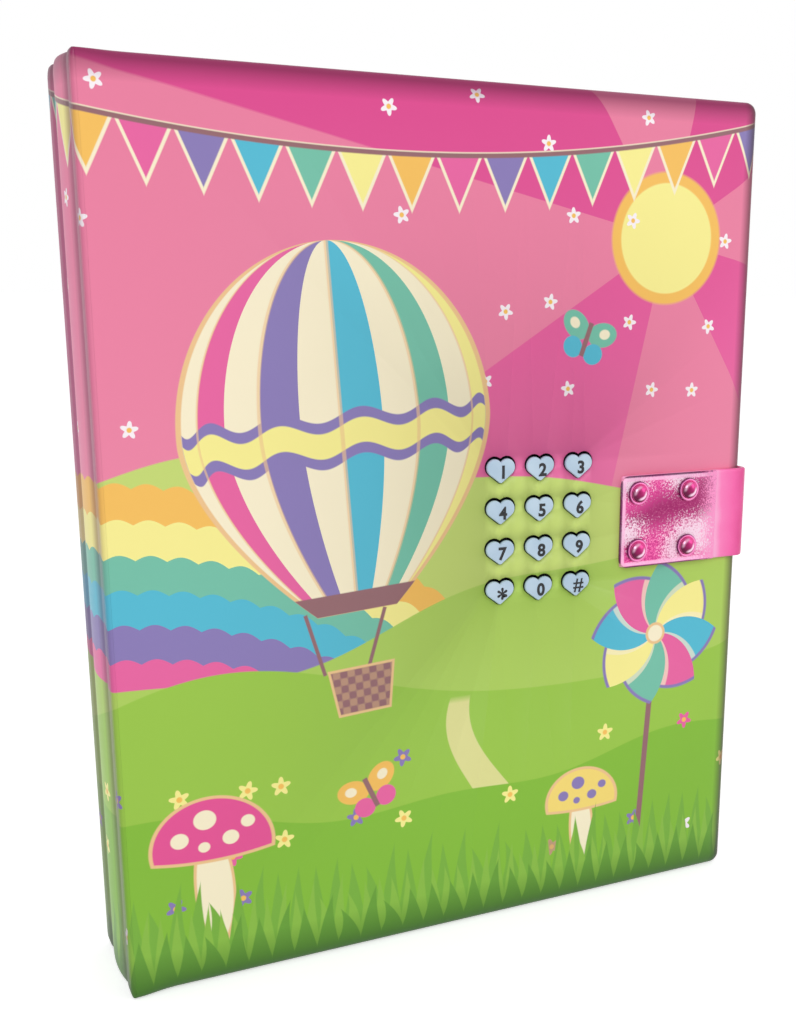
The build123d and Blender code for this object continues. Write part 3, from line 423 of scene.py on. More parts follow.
def blossoms(picture, pitch, radius, seed, share, petals=5):
    """Small flowers scattered one to a cell, their hearts and a random number for each."""
    finish = picture.finish
    scaled = finish.vector("SCALE", picture.spot, scale=1 / pitch)
    moved = finish.vector("ADD", scaled, (seed, seed * 0.7, 0))
    cell = finish.vector("FLOOR", moved)
    noise = finish.node("ShaderNodeTexWhiteNoise", {"noise_dimensions": "3D"}, {"Vector": cell}, "Color")
    rx, ry, rz = finish.parts(noise)
    fx, fy, _ = finish.parts(finish.vector("SUBTRACT", moved, cell))
    x = (fx - 0.5 - (rx - 0.5) * 0.5) * pitch
    y = (fy - 0.5 - (ry - 0.5) * 0.5) * pitch
    far = picture.length(finish.join(x, y))
    angle = y.angle(x)
    rim = ((angle * petals + rx * 9.0).sin() * 0.24 + 0.76) * radius
    chosen = (rz - (1 - share)).soft(0.01)
    return (rim - far).soft(0.25) * chosen, (radius * 0.28 - far).soft(0.25) * chosen, ry


CAP_SPOTS = [
    (-0.55, 0.2, 0.15), (-0.12, 0.5, 0.19), (0.3, 0.12, 0.14), (0.6, 0.36, 0.12),
    (-0.15, 0.02, 0.1),
]


def toadstool(picture, at, size, cap, spots):
    """A toadstool with a spotted cap."""
    x, y = at
    stem = picture.oval((x, y - size * 0.75), (size * 0.3, size * 0.95), 3)
    picture.lay((stem + 0.7).soft(), OUTLINE)
    picture.lay(stem.soft(), CREAM)
    dome = picture.oval((x, y), (size, size * 0.85), -6)
    under = (picture.v - (y - size * 0.22)) - (picture.u - x) * (picture.u - x) * 0.006
    dome = dome.least(under)
    picture.lay((dome + 0.8).soft(), OUTLINE)
    picture.lay(dome.soft(), cap)
    for across, up, wide in CAP_SPOTS:
        spot = picture.oval((x + across * size, y + up * size), (wide * size, wide * size * 0.9))
        picture.lay(spot.soft() * dome.soft(), spots)


def butterfly(picture, at, turn, wing, tip):
    """A butterfly of two wings on each side."""
    finish = picture.finish
    x, y, _ = finish.parts(picture.local(at, turn))
    half = finish.join(abs(x), y)
    ovals = (
        ((4.2, 2.6), (4.4, 3.2), wing),
        ((3.2, -3.0), (2.9, 2.7), tip),
        ((4.8, 3.0), (1.6, 1.3), CREAM),
    )
    for middle, size, tone in ovals:
        inputs = {0: half, 1: (*middle, 0), 2: (0, 0, radians(25)), 3: (*size, 1)}
        far = picture.length(finish.node("ShaderNodeMapping", {"vector_type": "TEXTURE"}, inputs))
        picture.lay(((1 - far) * min(size)).soft(), tone)
    picture.lay((0.7 - abs(x)).soft() * (4.5 - abs(y)).soft(), MAUVE)


# %% The whole picture, from the sky down
laminate = Finish("printed_wrap", Specular_IOR_Level=0.3, Coat_Weight=0.06, Coat_Roughness=0.3)
scene_art = Picture(laminate, PINK)
u, v = scene_art.u, scene_art.v
sky = [(0.5, paint(240, 120, 170)), (0.72, paint(235, 96, 160)), (1.0, paint(222, 70, 142))]
scene_art.colour = laminate.ramp(v / HEIGHT, sky)
for turned in (150, -118):
    swing = (v - 186).angle(u - turned)
    near = (60.0 - abs(u - turned)).soft(30.0) if turned < 0 else (u + 20).soft(30.0)
    scene_art.lay((swing * 4.0 + 0.9).sin().soft(0.02) * near * 0.75, paint(241, 142, 168))
    scene_art.lay(scene_art.oval((turned, 186), (17, 17)).soft(0.8), AMBER)
    scene_art.lay(scene_art.oval((turned, 186), (14.2, 14.2)).soft(0.4), LEMON)
petals, hearts, _ = blossoms(scene_art, 23.0, 2.1, 0.3, 0.6)
above = (v - 23.0 * (6 - 0.21)).soft(0.1)
scene_art.lay(petals * above, WHITE)
scene_art.lay(hearts * above, AMBER)
print("sky laid,", len(laminate.tree.nodes), "nodes so far")

# %% Pennants on a string, hills and flower rows
string = (u - 74) * (u - 74) * 0.0011 + 204
swag = v - string
flag = u / 12.5 + 0.35
across = abs(flag.fract() - 0.5) * 12.5
shape = (5.4 + swag * 0.46 - across).least(-swag)
tone = (flag.floor() / 6 + 0.01).fract()
flag_colours = [(i / 6, RAINBOW[(i * 5 + 1) % 6]) for i in range(6)]
flags = laminate.ramp(tone, flag_colours, "CONSTANT")
scene_art.lay((shape + 0.8).soft(), CREAM)
scene_art.lay(shape.soft(), flags)
scene_art.lay((0.55 - abs(swag)).soft(), MAUVE)

rows = (-v + 130.0) - (u + 20) * (u + 20) * 0.0034 + abs((u / 2.3).sin()) * 1.3
rows = rows + (u / 31.0).sin() * 3.0
bands = [RAINBOW[i] for i in (1, 2, 3, 4, 5, 0)]
stripes = laminate.ramp(rows / 50.0, [(i / 6, bands[i]) for i in range(6)], "CONSTANT")
scene_art.lay(scene_art.wave(126, (7, 36, 0.6), (2.5, 15, 0.0)).soft(), paint(200, 220, 118))
scene_art.lay(rows.soft(), stripes)
scene_art.lay(scene_art.wave(90, (12, 41, -1.9), (2, 13, 1.0)).soft(), paint(176, 210, 94))
scene_art.lay(scene_art.wave(72, (8, 29, 0.4), (2, 17, 0.5)).soft(), paint(156, 201, 72))
lane = 2.6 + (70 - v) * 0.09 - abs(u - 98 - (v / 13.0).sin() * 9.0)
scene_art.lay(lane.soft() * (66 - v).soft(2.0), paint(226, 224, 150))
scene_art.lay(scene_art.wave(43, (5, 34, 2.4), (1.6, 11, 0.0)).soft(), paint(134, 190, 56))
MEADOW_TOP, MEADOW_FOOT = 15.0 * (7 - 3.22), 15.0 * (4 - 3.22)
petals, hearts, chance = blossoms(scene_art, 15.0, 2.6, 4.6, 0.5)
meadow = (MEADOW_TOP - v).soft(0.1) * (v - MEADOW_FOOT).soft(0.1)
petal_colours = [(i / 4, colour) for i, colour in enumerate((WHITE, PINK, LEMON, VIOLET))]
scene_art.lay(petals * meadow, laminate.ramp(chance, petal_colours, "CONSTANT"))
scene_art.lay(hearts * meadow, AMBER)
print("hills laid,", len(laminate.tree.nodes), "nodes so far")

# %% Balloons, a pinwheel, toadstools, butterflies and grass
balloon(scene_art, (58, 140), 44.0)
balloon(scene_art, (-128, 148), 30.0)
scene_art.lay(scene_art.bar((151, 76), (147, 14), 0.9).soft(), MAUVE)
wx, wy, _ = laminate.parts(scene_art.local((151, 77)))
far = scene_art.length(scene_art.local((151, 77)))
sails = wy.angle(wx) / (2 * pi) * 8 + far * 0.05 + 8
share = sails.fract()
wheel = (share * 0.22 + 0.8) * 20.0 - far
scene_art.lay((wheel + 0.8).soft(), VIOLET)
sail = (sails.floor() / 4 + 0.01).fract()
sail_colours = [(i / 4, colour) for i, colour in enumerate((AQUA, LEMON, MINT, PINK))]
scene_art.lay(wheel.soft(), laminate.ramp(sail, sail_colours, "CONSTANT"))
scene_art.lay(wheel.soft() * (0.09 - abs(share - 0.06)).soft(0.03) * 0.6, CREAM)
scene_art.lay((3.2 - far).soft(), OUTLINE)
scene_art.lay((2.4 - far).soft(), CREAM)
toadstool(scene_art, (22, 37), 15.0, ROSE, CREAM)
toadstool(scene_art, (128, 30), 11.0, paint(250, 222, 120), VIOLET)
toadstool(scene_art, (-86, 36), 15.0, MINT, CREAM)
toadstool(scene_art, (-172, 32), 12.0, ROSE, CREAM)
butterfly(scene_art, (126, 160), -20, MINT, AQUA)
butterfly(scene_art, (64, 44), 24, AMBER, PINK)
butterfly(scene_art, (-60, 96), 15, AMBER, VIOLET)
scene_art.lay(blades(scene_art, 5.2, 13.0, 15.0, 0.2), paint(122, 178, 62))
scene_art.lay(blades(scene_art, 3.9, 9.0, 13.0, 5.5), paint(140, 190, 70))
scene_art.lay(blades(scene_art, 6.1, 5.0, 12.0, 9.1), paint(104, 160, 54))
print("picture finished,", len(laminate.tree.nodes), "nodes")

# %% [markdown]
# The wrap is painted darker where it turns over an edge and along the two hinge grooves beside
# the spine: that darkening is painted shade. Those are soft masks too, measured from the edges of the
# same map. The laminate itself is a satin film with a faint orange-peel, and the foam under it
# gives slow, shallow swells.

# %% Painted shade on the turned edges and beside the hinges, satin film
PRINT_MIDDLE, FORE_TURN, HINGE_OUT = -16.5, 192.6, 11.6
off_middle = abs(u - PRINT_MIDDLE)
# Painted shade: darker bands along the head, the foot and the fore-edge, and on the spine beside each
# hinge fold.
painted_shade_top = (v - 218.6).soft(6.0)
painted_shade_foot = (5.2 - v).soft(12.0)
painted_shade_fore = (off_middle - FORE_TURN).soft(4.0)
painted_shade_hinge = (4.6 - abs(off_middle - HINGE_OUT)).soft(3.4)
ink = scene_art.colour
# The print colour (ink) is multiplied by each painted shade in turn, then by a faint random fade.
ink = laminate.over(ink, paint(120, 60, 110), painted_shade_top * 0.75, "MULTIPLY")
ink = laminate.over(ink, paint(96, 140, 60), painted_shade_foot * 0.85, "MULTIPLY")
ink = laminate.over(ink, paint(112, 84, 96), painted_shade_fore * 0.85, "MULTIPLY")
ink = laminate.over(ink, paint(150, 120, 150), painted_shade_hinge * 0.75, "MULTIPLY")
skin_place = laminate.place()
fade = laminate.noise(skin_place, 0.02, 2.0)
ink = laminate.over(ink, paint(236, 232, 234), fade * 0.18, "MULTIPLY")
laminate.set("Base Color", ink)
film = laminate.noise(skin_place, 0.9, 3.0)
laminate.set("Roughness", film * 0.1 + 0.37)
laminate.bump(laminate.noise(skin_place, 0.045, 1.0) * 0.9 + film * 0.03, 0.0006, 0.6)

# %% [markdown]
# ## The padded covers
# Each cover is a board under a sheet of foam, so its edge is a soft, flattened quarter round and
# not a sharp corner. The skin is built from rings that follow the cover's outline: they start on
# the flat front, roll over the edge, run down the side and turn in over the lining. The flat
# middle is filled afterwards, with a hole for each key. Solidify gives the wrap its thickness.

# %% Turning rings of points into a skin
def new_object(name, data):
    """An object with this data, in the scene."""
    made = bpy.data.objects.new(name, data)
    bpy.context.scene.collection.objects.link(made)
    return made


def add_rings(bm, rings, closed=True, maps=None):
    """Joins neighbouring rings of points, in mm, by four-sided faces and returns their corners."""
    layers = bm.verts.layers.float_vector
    layer = layers.get("print_place") or layers.new("print_place")
    made = []
    for index, ring in enumerate(rings):
        corners = [bm.verts.new(Vector(point) * MM) for point in ring]
        if maps:
            for corner, (along, up) in zip(corners, maps[index]):
                corner[layer] = Vector((along * MM, up * MM, 0))
        made.append(corners)
    for first, second in zip(made, made[1:]):
        count = len(first) if closed else len(first) - 1
        for i in range(count):
            j = (i + 1) % len(first)
            bm.faces.new((first[i], first[j], second[j], second[i]))
    return made


def as_object(bm, name, finish, sharp=40.0):
    """A finished mesh object: smooth, with crisp edges where two faces meet steeply."""
    layer = bm.verts.layers.float_vector.get("print_place")
    if layer:
        uv = bm.loops.layers.uv.new("print")
        for face in bm.faces:
            for loop in face.loops:
                loop[uv].uv = loop.vert[layer].xy
        bm.verts.layers.float_vector.remove(layer)
    mesh = bpy.data.meshes.new(name)
    bm.to_mesh(mesh)
    bm.free()
    mesh.shade_smooth()
    mesh.set_sharp_from_angle(angle=radians(sharp))
    mesh.materials.append(finish.material)
    return new_object(name, mesh)


def ring_edges(bm, corners):
    """The edges that join the neighbouring corners of a closed ring."""
    pairs = zip(corners, corners[1:] + corners[:1])
    return [bm.edges.get(pair) for pair in pairs]


def in_front(face, c):
    """Whether a face's middle lies in front of the depth c."""
    return face.calc_center_median().y < (Y_FACE + c) * MM


def face_along(bm, direction, face=None):
    """Turns a skin inside out where its first face, or the one given, looks against direction."""
    bmesh.ops.recalc_face_normals(bm, faces=bm.faces)
    face = face or bm.faces[0]
    if face.normal.dot(Vector(direction)) < 0:
        bmesh.ops.reverse_faces(bm, faces=bm.faces)


def set_solid(piece, thickness):
    """Gives a skin its thickness, inwards, and makes it a plain mesh."""
    solid = piece.modifiers.new("thickness", "SOLIDIFY")
    solid.thickness = thickness * MM
    solid.offset = -1.0
    solid.use_even_offset = True
    return as_plain(piece)


def as_plain(piece):
    """Replaces an object's modifiers by their result."""
    seen = piece.evaluated_get(bpy.context.evaluated_depsgraph_get())
    mesh = bpy.data.meshes.new_from_object(seen)
    piece.modifiers.clear()
    piece.data = mesh
    mesh.name = piece.name
    return piece


# %% The outline of a cover, ring by ring
CORNER = 3.0
SOFT_EDGE = [1.0, 0.84, 0.68, 0.53, 0.4, 0.28, 0.18, 0.1, 0.04, 0.0]
SIDE = [(0.0, 3.0), (0.0, 3.9), (0.12, 4.3), (0.4, 4.54), (0.8, 4.6), (3.0, 4.6)]


def edge_size(a):
    """How far in and how deep the soft edge reaches, at a distance a from the fold."""
    share = smooth((a - FOLD) / 10)
    return 2.6 + 4.2 * share, 0.9 + 1.5 * share


def outline_ring(share=None, inset=0.0, depth=None, left=0.0):
    """One closed ring: up-left corner, top edge, fore-edge, bottom edge, then back up the fold."""
    first = FOLD + left
    starts = [first, (first + 3.6) / 2, 3.6, 5.0, 7.0, 9.0, 11.2]
    half = []
    for a in starts:
        wide, deep = edge_size(a)
        half.append((a, HEIGHT - (wide * share if depth is None else inset), 0, 1, deep))
    wide, deep = edge_size(WIDTH)
    drawn = wide * share if depth is None else inset
    middle = max(CORNER, drawn + 0.3)
    run = WIDTH - middle - starts[-1]
    half += [(starts[-1] + run * i / 10, HEIGHT - drawn, 0, 1, deep) for i in range(1, 11)]
    for i in range(1, 9):
        turn = pi / 2 * (1 - i / 8)
        radius = middle - drawn
        at = (WIDTH - middle + radius * cos(turn), HEIGHT - middle + radius * sin(turn))
        half.append((*at, cos(turn), sin(turn), deep))
    side = HEIGHT - 2 * middle
    fore = [(WIDTH - drawn, HEIGHT - middle - side * i / 12, 1, 0, deep) for i in range(1, 12)]
    mirrored = [(a, HEIGHT - b, na, -nb, deep) for a, b, na, nb, deep in reversed(half)]
    ring = []
    for a, b, na, nb, deep in half + fore + mirrored:
        fall = deep * (1 - sqrt(1 - (1 - share) ** 2)) if depth is None else depth
        ring.append((a, b, fall, na, nb))
    return ring


def cover_rings():
    rings = [outline_ring(share=share) for share in SOFT_EDGE]
    for inset, depth in SIDE:
        rings.append(outline_ring(inset=inset, depth=depth, left=1.8 * (inset / 3.0)))
    return rings


print("rings on a cover:", len(cover_rings()), "corners on each:", len(cover_rings()[0]))

# %% [markdown]
# A key's heart is two round lobes joined to a small round tip by straight sides, as a maker
# draws it with compasses. The same outline, grown by a few tenths of a millimetre, cuts the hole
# in the wrap, and shrunk by a little it gives the key's own rings.

# %% Heart outlines and the places of the twelve keys
LOBE, LOBE_OUT, TIP, TIP_DROP = 2.3, 1.8, 0.7, 3.4
PITCH_X, PITCH_Z = 11.6, 10.85
KEY_NAMES = ["1", "2", "3", "4", "5", "6", "7", "8", "9", "star", "0", "hash"]
HEART_RISE = (TIP_DROP + TIP - LOBE) / 2


def heart(grow=0.0, steps=14):
    """The outline of a heart about the middle between its lobes, from the notch round to the right."""
    lobe, tip = LOBE + grow, TIP + grow
    side = atan2(TIP_DROP, LOBE_OUT) - acos((TIP - LOBE) / hypot(LOBE_OUT, TIP_DROP))
    notch = pi - acos(LOBE_OUT / lobe)
    right = []
    for i in range(steps + 1):
        turn = notch + (side - notch) * i / steps
        right.append((LOBE_OUT + lobe * cos(turn), lobe * sin(turn)))
    for i in range(6):
        turn = side + (-pi / 2 - side) * i / 5
        right.append((tip * cos(turn), tip * sin(turn) - TIP_DROP))
    return right[:-1] + [(0.0, -TIP_DROP - tip)] + [(-x, z) for x, z in reversed(right[1:-1])]


def key_place(name):
    """Where a key's heart is centred, in X and Z."""
    row, column = divmod(KEY_NAMES.index(name), 3)
    return KEY_X + (column - 1) * PITCH_X, KEY_Z + (1.5 - row) * PITCH_Z + HEART_RISE


print("key 5 is at", [round(v, 2) for v in key_place("5")], "with", len(heart()), "corners")


# %% The front and back covers' skins
BACK_PRINT = -34.17


def cover_skin(name, place, print_place, holes):
    bm = bmesh.new()
    rings = cover_rings()
    points = [[place(a, b, c) for a, b, c, na, nb in ring] for ring in rings]
    maps = [[print_place(a + na * c, b + nb * c) for a, b, c, na, nb in ring] for ring in rings]
    made = add_rings(bm, points, True, maps)
    layer = bm.verts.layers.float_vector["print_place"]
    edges = ring_edges(bm, made[0])
    for hole in holes:
        corners = [bm.verts.new(place(a, b, 0) * MM) for a, b in hole]
        for corner, (a, b) in zip(corners, hole):
            corner[layer] = Vector((*print_place(a, b), 0)) * MM
        edges += [bm.edges.new((corners[i - 1], corners[i])) for i in range(len(corners))]
    bm.normal_update()
    filled = bmesh.ops.triangle_fill(bm, edges=edges, use_beauty=True)
    flat = [part for part in filled["geom"] if isinstance(part, bmesh.types.BMFace)]
    outwards = (0, -1, 0) if place is front else (0, 1, 0)
    bm.normal_update()
    face_along(bm, outwards, max(flat, key=lambda face: face.calc_area()))
    piece = as_object(bm, name, laminate)
    return set_solid(piece, WRAP)


HOLE_SHIFT, HOLE_GAP = (0.08, 0.24), 0.42
key_holes = []
for name in KEY_NAMES:
    x, z = key_place(name)
    a, b = x - X_FOLD + HOLE_SHIFT[0], z + HOLE_SHIFT[1]
    key_holes.append([(a + hx, b + hz) for hx, hz in heart(HOLE_GAP)])
front_skin = cover_skin("front_padded_cover", front, lambda a, b: (a, b), key_holes)
back_skin = cover_skin("back_padded_cover", back, lambda a, b: (BACK_PRINT - (a - FOLD), b), [])
print("front skin has", len(front_skin.data.polygons), "faces, back skin", len(back_skin.data.polygons))

# %% The spine and its two folds
EDGE_ROLL = [(0.0, 1.0), (0.0, 0.9), (0.05, 0.62), (0.3, 0.42), (0.8, 0.25), (1.5, 0.1), (2.6, 0.0)]


def height_line(last_drop):
    """Heights from the foot to the head, with how far the wrap is drawn in at each."""
    foot = [(0.0, last_drop)] + EDGE_ROLL[1:]
    middle = [(2.6 + (HEIGHT - 5.2) * i / 12, 0.0) for i in range(1, 12)]
    return foot + middle + [(HEIGHT - b, drop) for b, drop in reversed(foot)]


def fold_skin(name, place, print_start):
    bm = bmesh.new()
    rings, maps = [], []
    for i in range(7):
        turn = pi / 2 * i / 6
        ring = []
        for b, drop in height_line(1.05):
            radius = FOLD - drop
            ring.append(place(FOLD - radius * sin(turn), b, FOLD - radius * cos(turn)))
        rings.append(ring)
        maps.append([(print_start(FOLD * turn), b) for b, drop in height_line(1.05)])
    add_rings(bm, rings, False, maps)
    face_along(bm, (-1, 0, 0), max(bm.faces, key=lambda face: face.calc_area()))
    return set_solid(as_object(bm, name, laminate), FOLD_WRAP)


GROOVE_START, GROOVE_END, GROOVE_DEPTH, SPINE_BULGE = 4.2, 10.4, 0.5, 0.6


def spine_reach(c):
    """How far the spine stands out of the fold's plane, inwards being negative."""
    near = min(c, THICK - c)
    if near < GROOVE_START:
        return 0.0
    if near < GROOVE_END:
        share = (near - GROOVE_START) / (GROOVE_END - GROOVE_START)
        return -GROOVE_DEPTH * sin(pi * share) ** 2
    share = (near - GROOVE_END) / (THICK / 2 - GROOVE_END)
    return SPINE_BULGE * sin(pi / 2 * share) ** 0.8


def spine_skin():
    bm = bmesh.new()
    rings, maps = [], []
    for i in range(49):
        c = FOLD + (THICK - 2 * FOLD) * i / 48
        ring = [front(-spine_reach(c) + drop, b, c) for b, drop in height_line(1.9)]
        rings.append(ring)
        maps.append([(FOLD * (1 - pi / 2) - (c - FOLD), b) for b, drop in height_line(1.9)])
    add_rings(bm, rings, False, maps)
    face_along(bm, (-1, 0, 0), max(bm.faces, key=lambda face: face.calc_area()))
    return set_solid(as_object(bm, "spine_skin", laminate), FOLD_WRAP)


spine = spine_skin()
front_fold = fold_skin("front_fold", front, lambda run: FOLD - run)
back_fold = fold_skin("back_fold", back, lambda run: BACK_PRINT + run)
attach(front_skin, "front_cover")
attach(back_skin, "base")
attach(spine, "spine")
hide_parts("front_wrap", "front_foam")
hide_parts("back_wrap", "back_foam")
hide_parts("spine_wrap")
front(FOLD, 111, 0) * MM
front(0, 111, FOLD) * MM
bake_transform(front_fold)
back(FOLD, 111, 0) * MM
back(0, 111, FOLD) * MM
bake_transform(back_fold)
print("spine stands out by", round(spine_reach(THICK / 2), 2), "mm at its middle")

# %% [markdown]
# ## The strap, the clasp plate and their pink
# The strap is one strip of thick, soft vinyl. It lies on the front, turns round the fore-edge and
# hangs down its side, where the latch tongue is riveted to it. It is swept along that path with a
# rounded cross-section, as one mesh, because it bends there when the strap is opened. The plate
# on it is thin metal with a grained pink foil, and its broad bright and dark patches are painted
# reflections.

# %% Pink vinyl with painted shade, and grained pink metal with painted reflections
vinyl = Finish("pink_vinyl", Coat_Weight=0.25, Coat_Roughness=0.25)
at = vinyl.place()
x, y, z = vinyl.parts(at)
cloud = vinyl.noise(at, 0.09, 2.0)
# Painted shade: the strap darkens over the last 9 mm before the fore-edge and stays dark round the bend
# and down the flap. The cloud noise adds a random change of tone.
tint = (x - X_FOLD - 169.2) / 9.0 + (cloud - 0.5) * 0.5
vinyl.tint(
    tint, (0.0, paint(255, 172, 214)), (0.22, paint(255, 126, 190)),
    (0.65, paint(250, 96, 172)), (1.0, paint(226, 62, 142)),
)
leathery = vinyl.node("ShaderNodeTexVoronoi", {"feature": "F1"}, {"Vector": at, "Scale": 1.6})
vinyl.set("Roughness", vinyl.noise(at, 0.6, 3.0) * 0.16 + 0.3)
vinyl.bump(leathery * 0.5 + vinyl.noise(at, 2.4, 2.0), 0.00004, 0.5)

foil = Finish("grained_pink_metal")
at = foil.place()
x, y, z = foil.parts(at)
x, z = x - X_FOLD - 152.9, z - STRAP_Z
swell = foil.noise(at, 0.11, 3.0) - 0.5
grain = (foil.noise(at, 2.0, 3.0, 0.75) - 0.5) * 2.4


def patch(middle, half, edge):
    """How much of an oval patch of painted reflection lies on a place of the foil, with a grainy edge.
    """
    off = foil.join((x - middle[0]) / half[0], (z - middle[1]) / half[1])
    inside = (1 - foil.length(off)) * min(half)
    return (inside + grain * 9.0).soft(edge)


# Painted reflections: the dark belt and the near-white patches below stand in for reflections on the
# foil. The grain breaks up their edges.
fades = (12.6 - x + grain * 9.0).soft(4.0)
belt = (x + 10.3) * 0.16 + 3.1 - abs(z - x * 0.24 - 3.4 + swell * 3.0)
dark = (belt + grain * 9.0).soft(5.5) * (x + 14.3 + grain * 6.0).soft(2.5)
bright = patch((-13.4, 11.0), (5.2, 3.4), 3.0).most(patch((3.4, 12.0), (4.2, 3.2), 3.0))
bright = bright.most(patch((-13.6, -3.2), (4.6, 3.4), 3.0)).most(patch((9.6, -5.2), (8.6, 4.8), 4.0))
bright = bright.most(patch((1.6, -8.4), (3.2, 4.6), 3.0) * 0.8)
tone = foil.over(paint(226, 66, 150), paint(150, 16, 92), dark)
tone = foil.over(tone, paint(255, 132, 196), (grain * 4.0 - 0.5).soft(1.6) * (1 - dark * 0.6) * 0.6)
tone = foil.over(tone, paint(150, 20, 96), (grain * -4.0 - 0.7).soft(1.6) * 0.6)
tone = foil.over(tone, paint(255, 226, 242), bright * 0.92)
tone = foil.over(paint(255, 150, 204), tone, fades)
# Painted highlight and painted shade at the plate's rolled edge: a lighter band just inside it and a
# dark line at the very edge.
rim = (x + 15.95).least(12.8 - abs(z))
tone = foil.over(tone, paint(255, 190, 226), (0.55 - abs(rim - 0.95)).soft(0.3) * fades * 0.8)
tone = foil.over(tone, paint(92, 22, 82), (0.45 - rim).soft(0.3) * fades * 0.9)
foil.set("Base Color", tone)
foil.set("Metallic", fades * (0.5 - bright * 0.35))
foil.set("Roughness", grain * 0.12 + 0.36)
foil.bump((grain * 0.5 + swell * 2.0) * fades, 0.00012, 0.8)
print("vinyl nodes:", len(vinyl.tree.nodes), "metal nodes:", len(foil.tree.nodes))

# %% The strap, swept round the fore-edge
STRAP_HALF, STRAP_SHEET, BEND = 12.8, 1.4, 1.5
BEND_A, BEND_C = WIDTH + 0.2 - BEND, -0.05 + BEND


def strap_section(squeeze=0.0):
    """The strap's cut shape: across in Z and outwards in thickness, with rounded edges."""
    shape = []
    for up, out, start in ((1, 0, -1), (1, 1, 0), (-1, 1, 1), (-1, 0, 2)):
        radius = 0.6 if out else 0.3
        for i in range(5):
            turn = pi / 2 * (start + i / 4)
            across = up * (STRAP_HALF - radius) + radius * cos(turn)
            high = (STRAP_SHEET - radius if out else radius) + radius * sin(turn)
            shape.append((across * (1 - squeeze * 0.03), 0.7 + (high - 0.7) * (1 - squeeze * 0.55)))
    return shape


def strap_stations():
    """Rings of the strap from under the plate to its end, each with its squeeze."""
    stations = [("front", 137.8, 1.0), ("front", 137.9, 0.6), ("front", 138.3, 0.0)]
    stations += [("front", 138.3 + (BEND_A - 138.3) * i / 12, 0.0) for i in range(1, 12)]
    stations += [("bend", pi / 2 * i / 12, 0.0) for i in range(13)]
    stations += [("flap", BEND_C + (24.3 - BEND_C) * i / 10, 0.0) for i in range(1, 11)]
    return stations + [("flap", 24.7, 0.3), ("flap", 24.9, 0.65), ("flap", 25.0, 1.0)]


bm = bmesh.new()
rings = []
for kind, run, squeeze in strap_stations():
    ring = []
    for across, high in strap_section(squeeze):
        if kind == "front":
            ring.append(front(run, STRAP_Z + across, -0.05 - high))
        elif kind == "bend":
            reach = BEND + high
            ring.append(front(BEND_A + reach * sin(run), STRAP_Z + across, BEND_C - reach * cos(run)))
        else:
            ring.append(front(WIDTH + 0.2 + high, STRAP_Z + across, run))
    rings.append(ring)
made = add_rings(bm, rings)
for end in (made[0], made[-1]):
    bm.faces.new(end)
outer = max(bm.faces, key=lambda face: face.calc_area() if in_front(face, -1) else 0)
face_along(bm, (0, -1, 0), outer)
strap = as_object(bm, "vinyl_strap", vinyl, 50)
strap.modifiers.new("round", "SUBSURF").levels = 1
strap.modifiers["round"].render_levels = 1
strap = as_plain(strap)
front(BEND_A, STRAP_Z, -0.75) * MM
front(WIDTH + 0.9, STRAP_Z, BEND_C) * MM
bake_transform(strap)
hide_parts("strap_front", "strap_bend", "strap_flap")
print("strap has", len(strap.data.polygons), "faces and is", round(2 * STRAP_HALF, 1), "mm wide")

# %% [markdown]
# The plate is pressed from thin sheet, so its edges are rolled and it sinks a little round each
# rivet. It is built from rings of its own outline, from the rolled edge inwards, and the flat
# middle is a grid that can sink.

# %% The pressed clasp plate
PLATE_A, PLATE_LENGTH, PLATE_CORNER = 137.0, 31.9, 2.6
PLATE_TOP, PLATE_BACK = -2.15, -1.45
RIVET_A, RIVET_X, RIVET_Z = 150.8, 16.4, 16.0
rivet_spots = [
    (RIVET_A + sx * RIVET_X / 2, STRAP_Z + sz * RIVET_Z / 2) for sx in (-1, 1) for sz in (-1, 1)
]


def plate_edge(inset):
    """The plate's outline, drawn in by inset: round corners at the left, square at the right."""
    low, high = STRAP_Z - STRAP_HALF + inset, STRAP_Z + STRAP_HALF - inset
    left, right = PLATE_A + inset, PLATE_A + PLATE_LENGTH - inset
    corners = (
        (left, high, 90, PLATE_CORNER), (right, high, 0, 0.5),
        (right, low, -90, 0.5), (left, low, 180, PLATE_CORNER),
    )
    outline = []
    for a, b, start, radius in corners:
        radius = max(radius - inset, 0.05)
        middle_a = a + radius if a == left else a - radius
        middle_b = b - radius if b == high else b + radius
        for i in range(7):
            turn = radians(start + 90 - 90 * i / 6)
            outline.append((middle_a + radius * cos(turn), middle_b + radius * sin(turn)))
    return outline


def plate_sink(a, b):
    """How deep the plate is pressed in at a place: a shallow dish round each rivet."""
    near = min(hypot(a - ra, b - rb) for ra, rb in rivet_spots)
    thinned = 0.6 * smooth((a - PLATE_A - PLATE_LENGTH + 4.5) / 4.5)
    return 0.28 * (1 - smooth((near - 3.3) / 2.2)) + thinned


bm = bmesh.new()
rings = [[front(a, b, PLATE_BACK) for a, b in plate_edge(0.0)]]
for inset, drop in ((0.0, 0.3), (0.06, 0.14), (0.18, 0.04), (0.4, 0.0), (0.7, 0.02), (1.0, 0.05)):
    rings.append([front(a, b, PLATE_TOP + drop) for a, b in plate_edge(inset)])
made = add_rings(bm, rings)
bm.faces.new(made[0])
bmesh.ops.triangle_fill(bm, edges=ring_edges(bm, made[-1]), use_beauty=True)
bm.normal_update()
for along in range(1, 30):
    cuts = (
        ((1, 0, 0), front(PLATE_A + 1.0 + along * 1.06, 0, 0)),
        ((0, 0, 1), front(0, STRAP_Z - STRAP_HALF + 0.7 + along * 0.86, 0)),
    )
    for axis, at in cuts:
        top = [face for face in bm.faces if abs(face.normal.y) > 0.9 and in_front(face, -1.95)]
        touched = dict.fromkeys(part for face in top for part in [face, *face.edges, *face.verts])
        bmesh.ops.bisect_plane(bm, geom=list(touched), plane_co=at * MM, plane_no=axis)
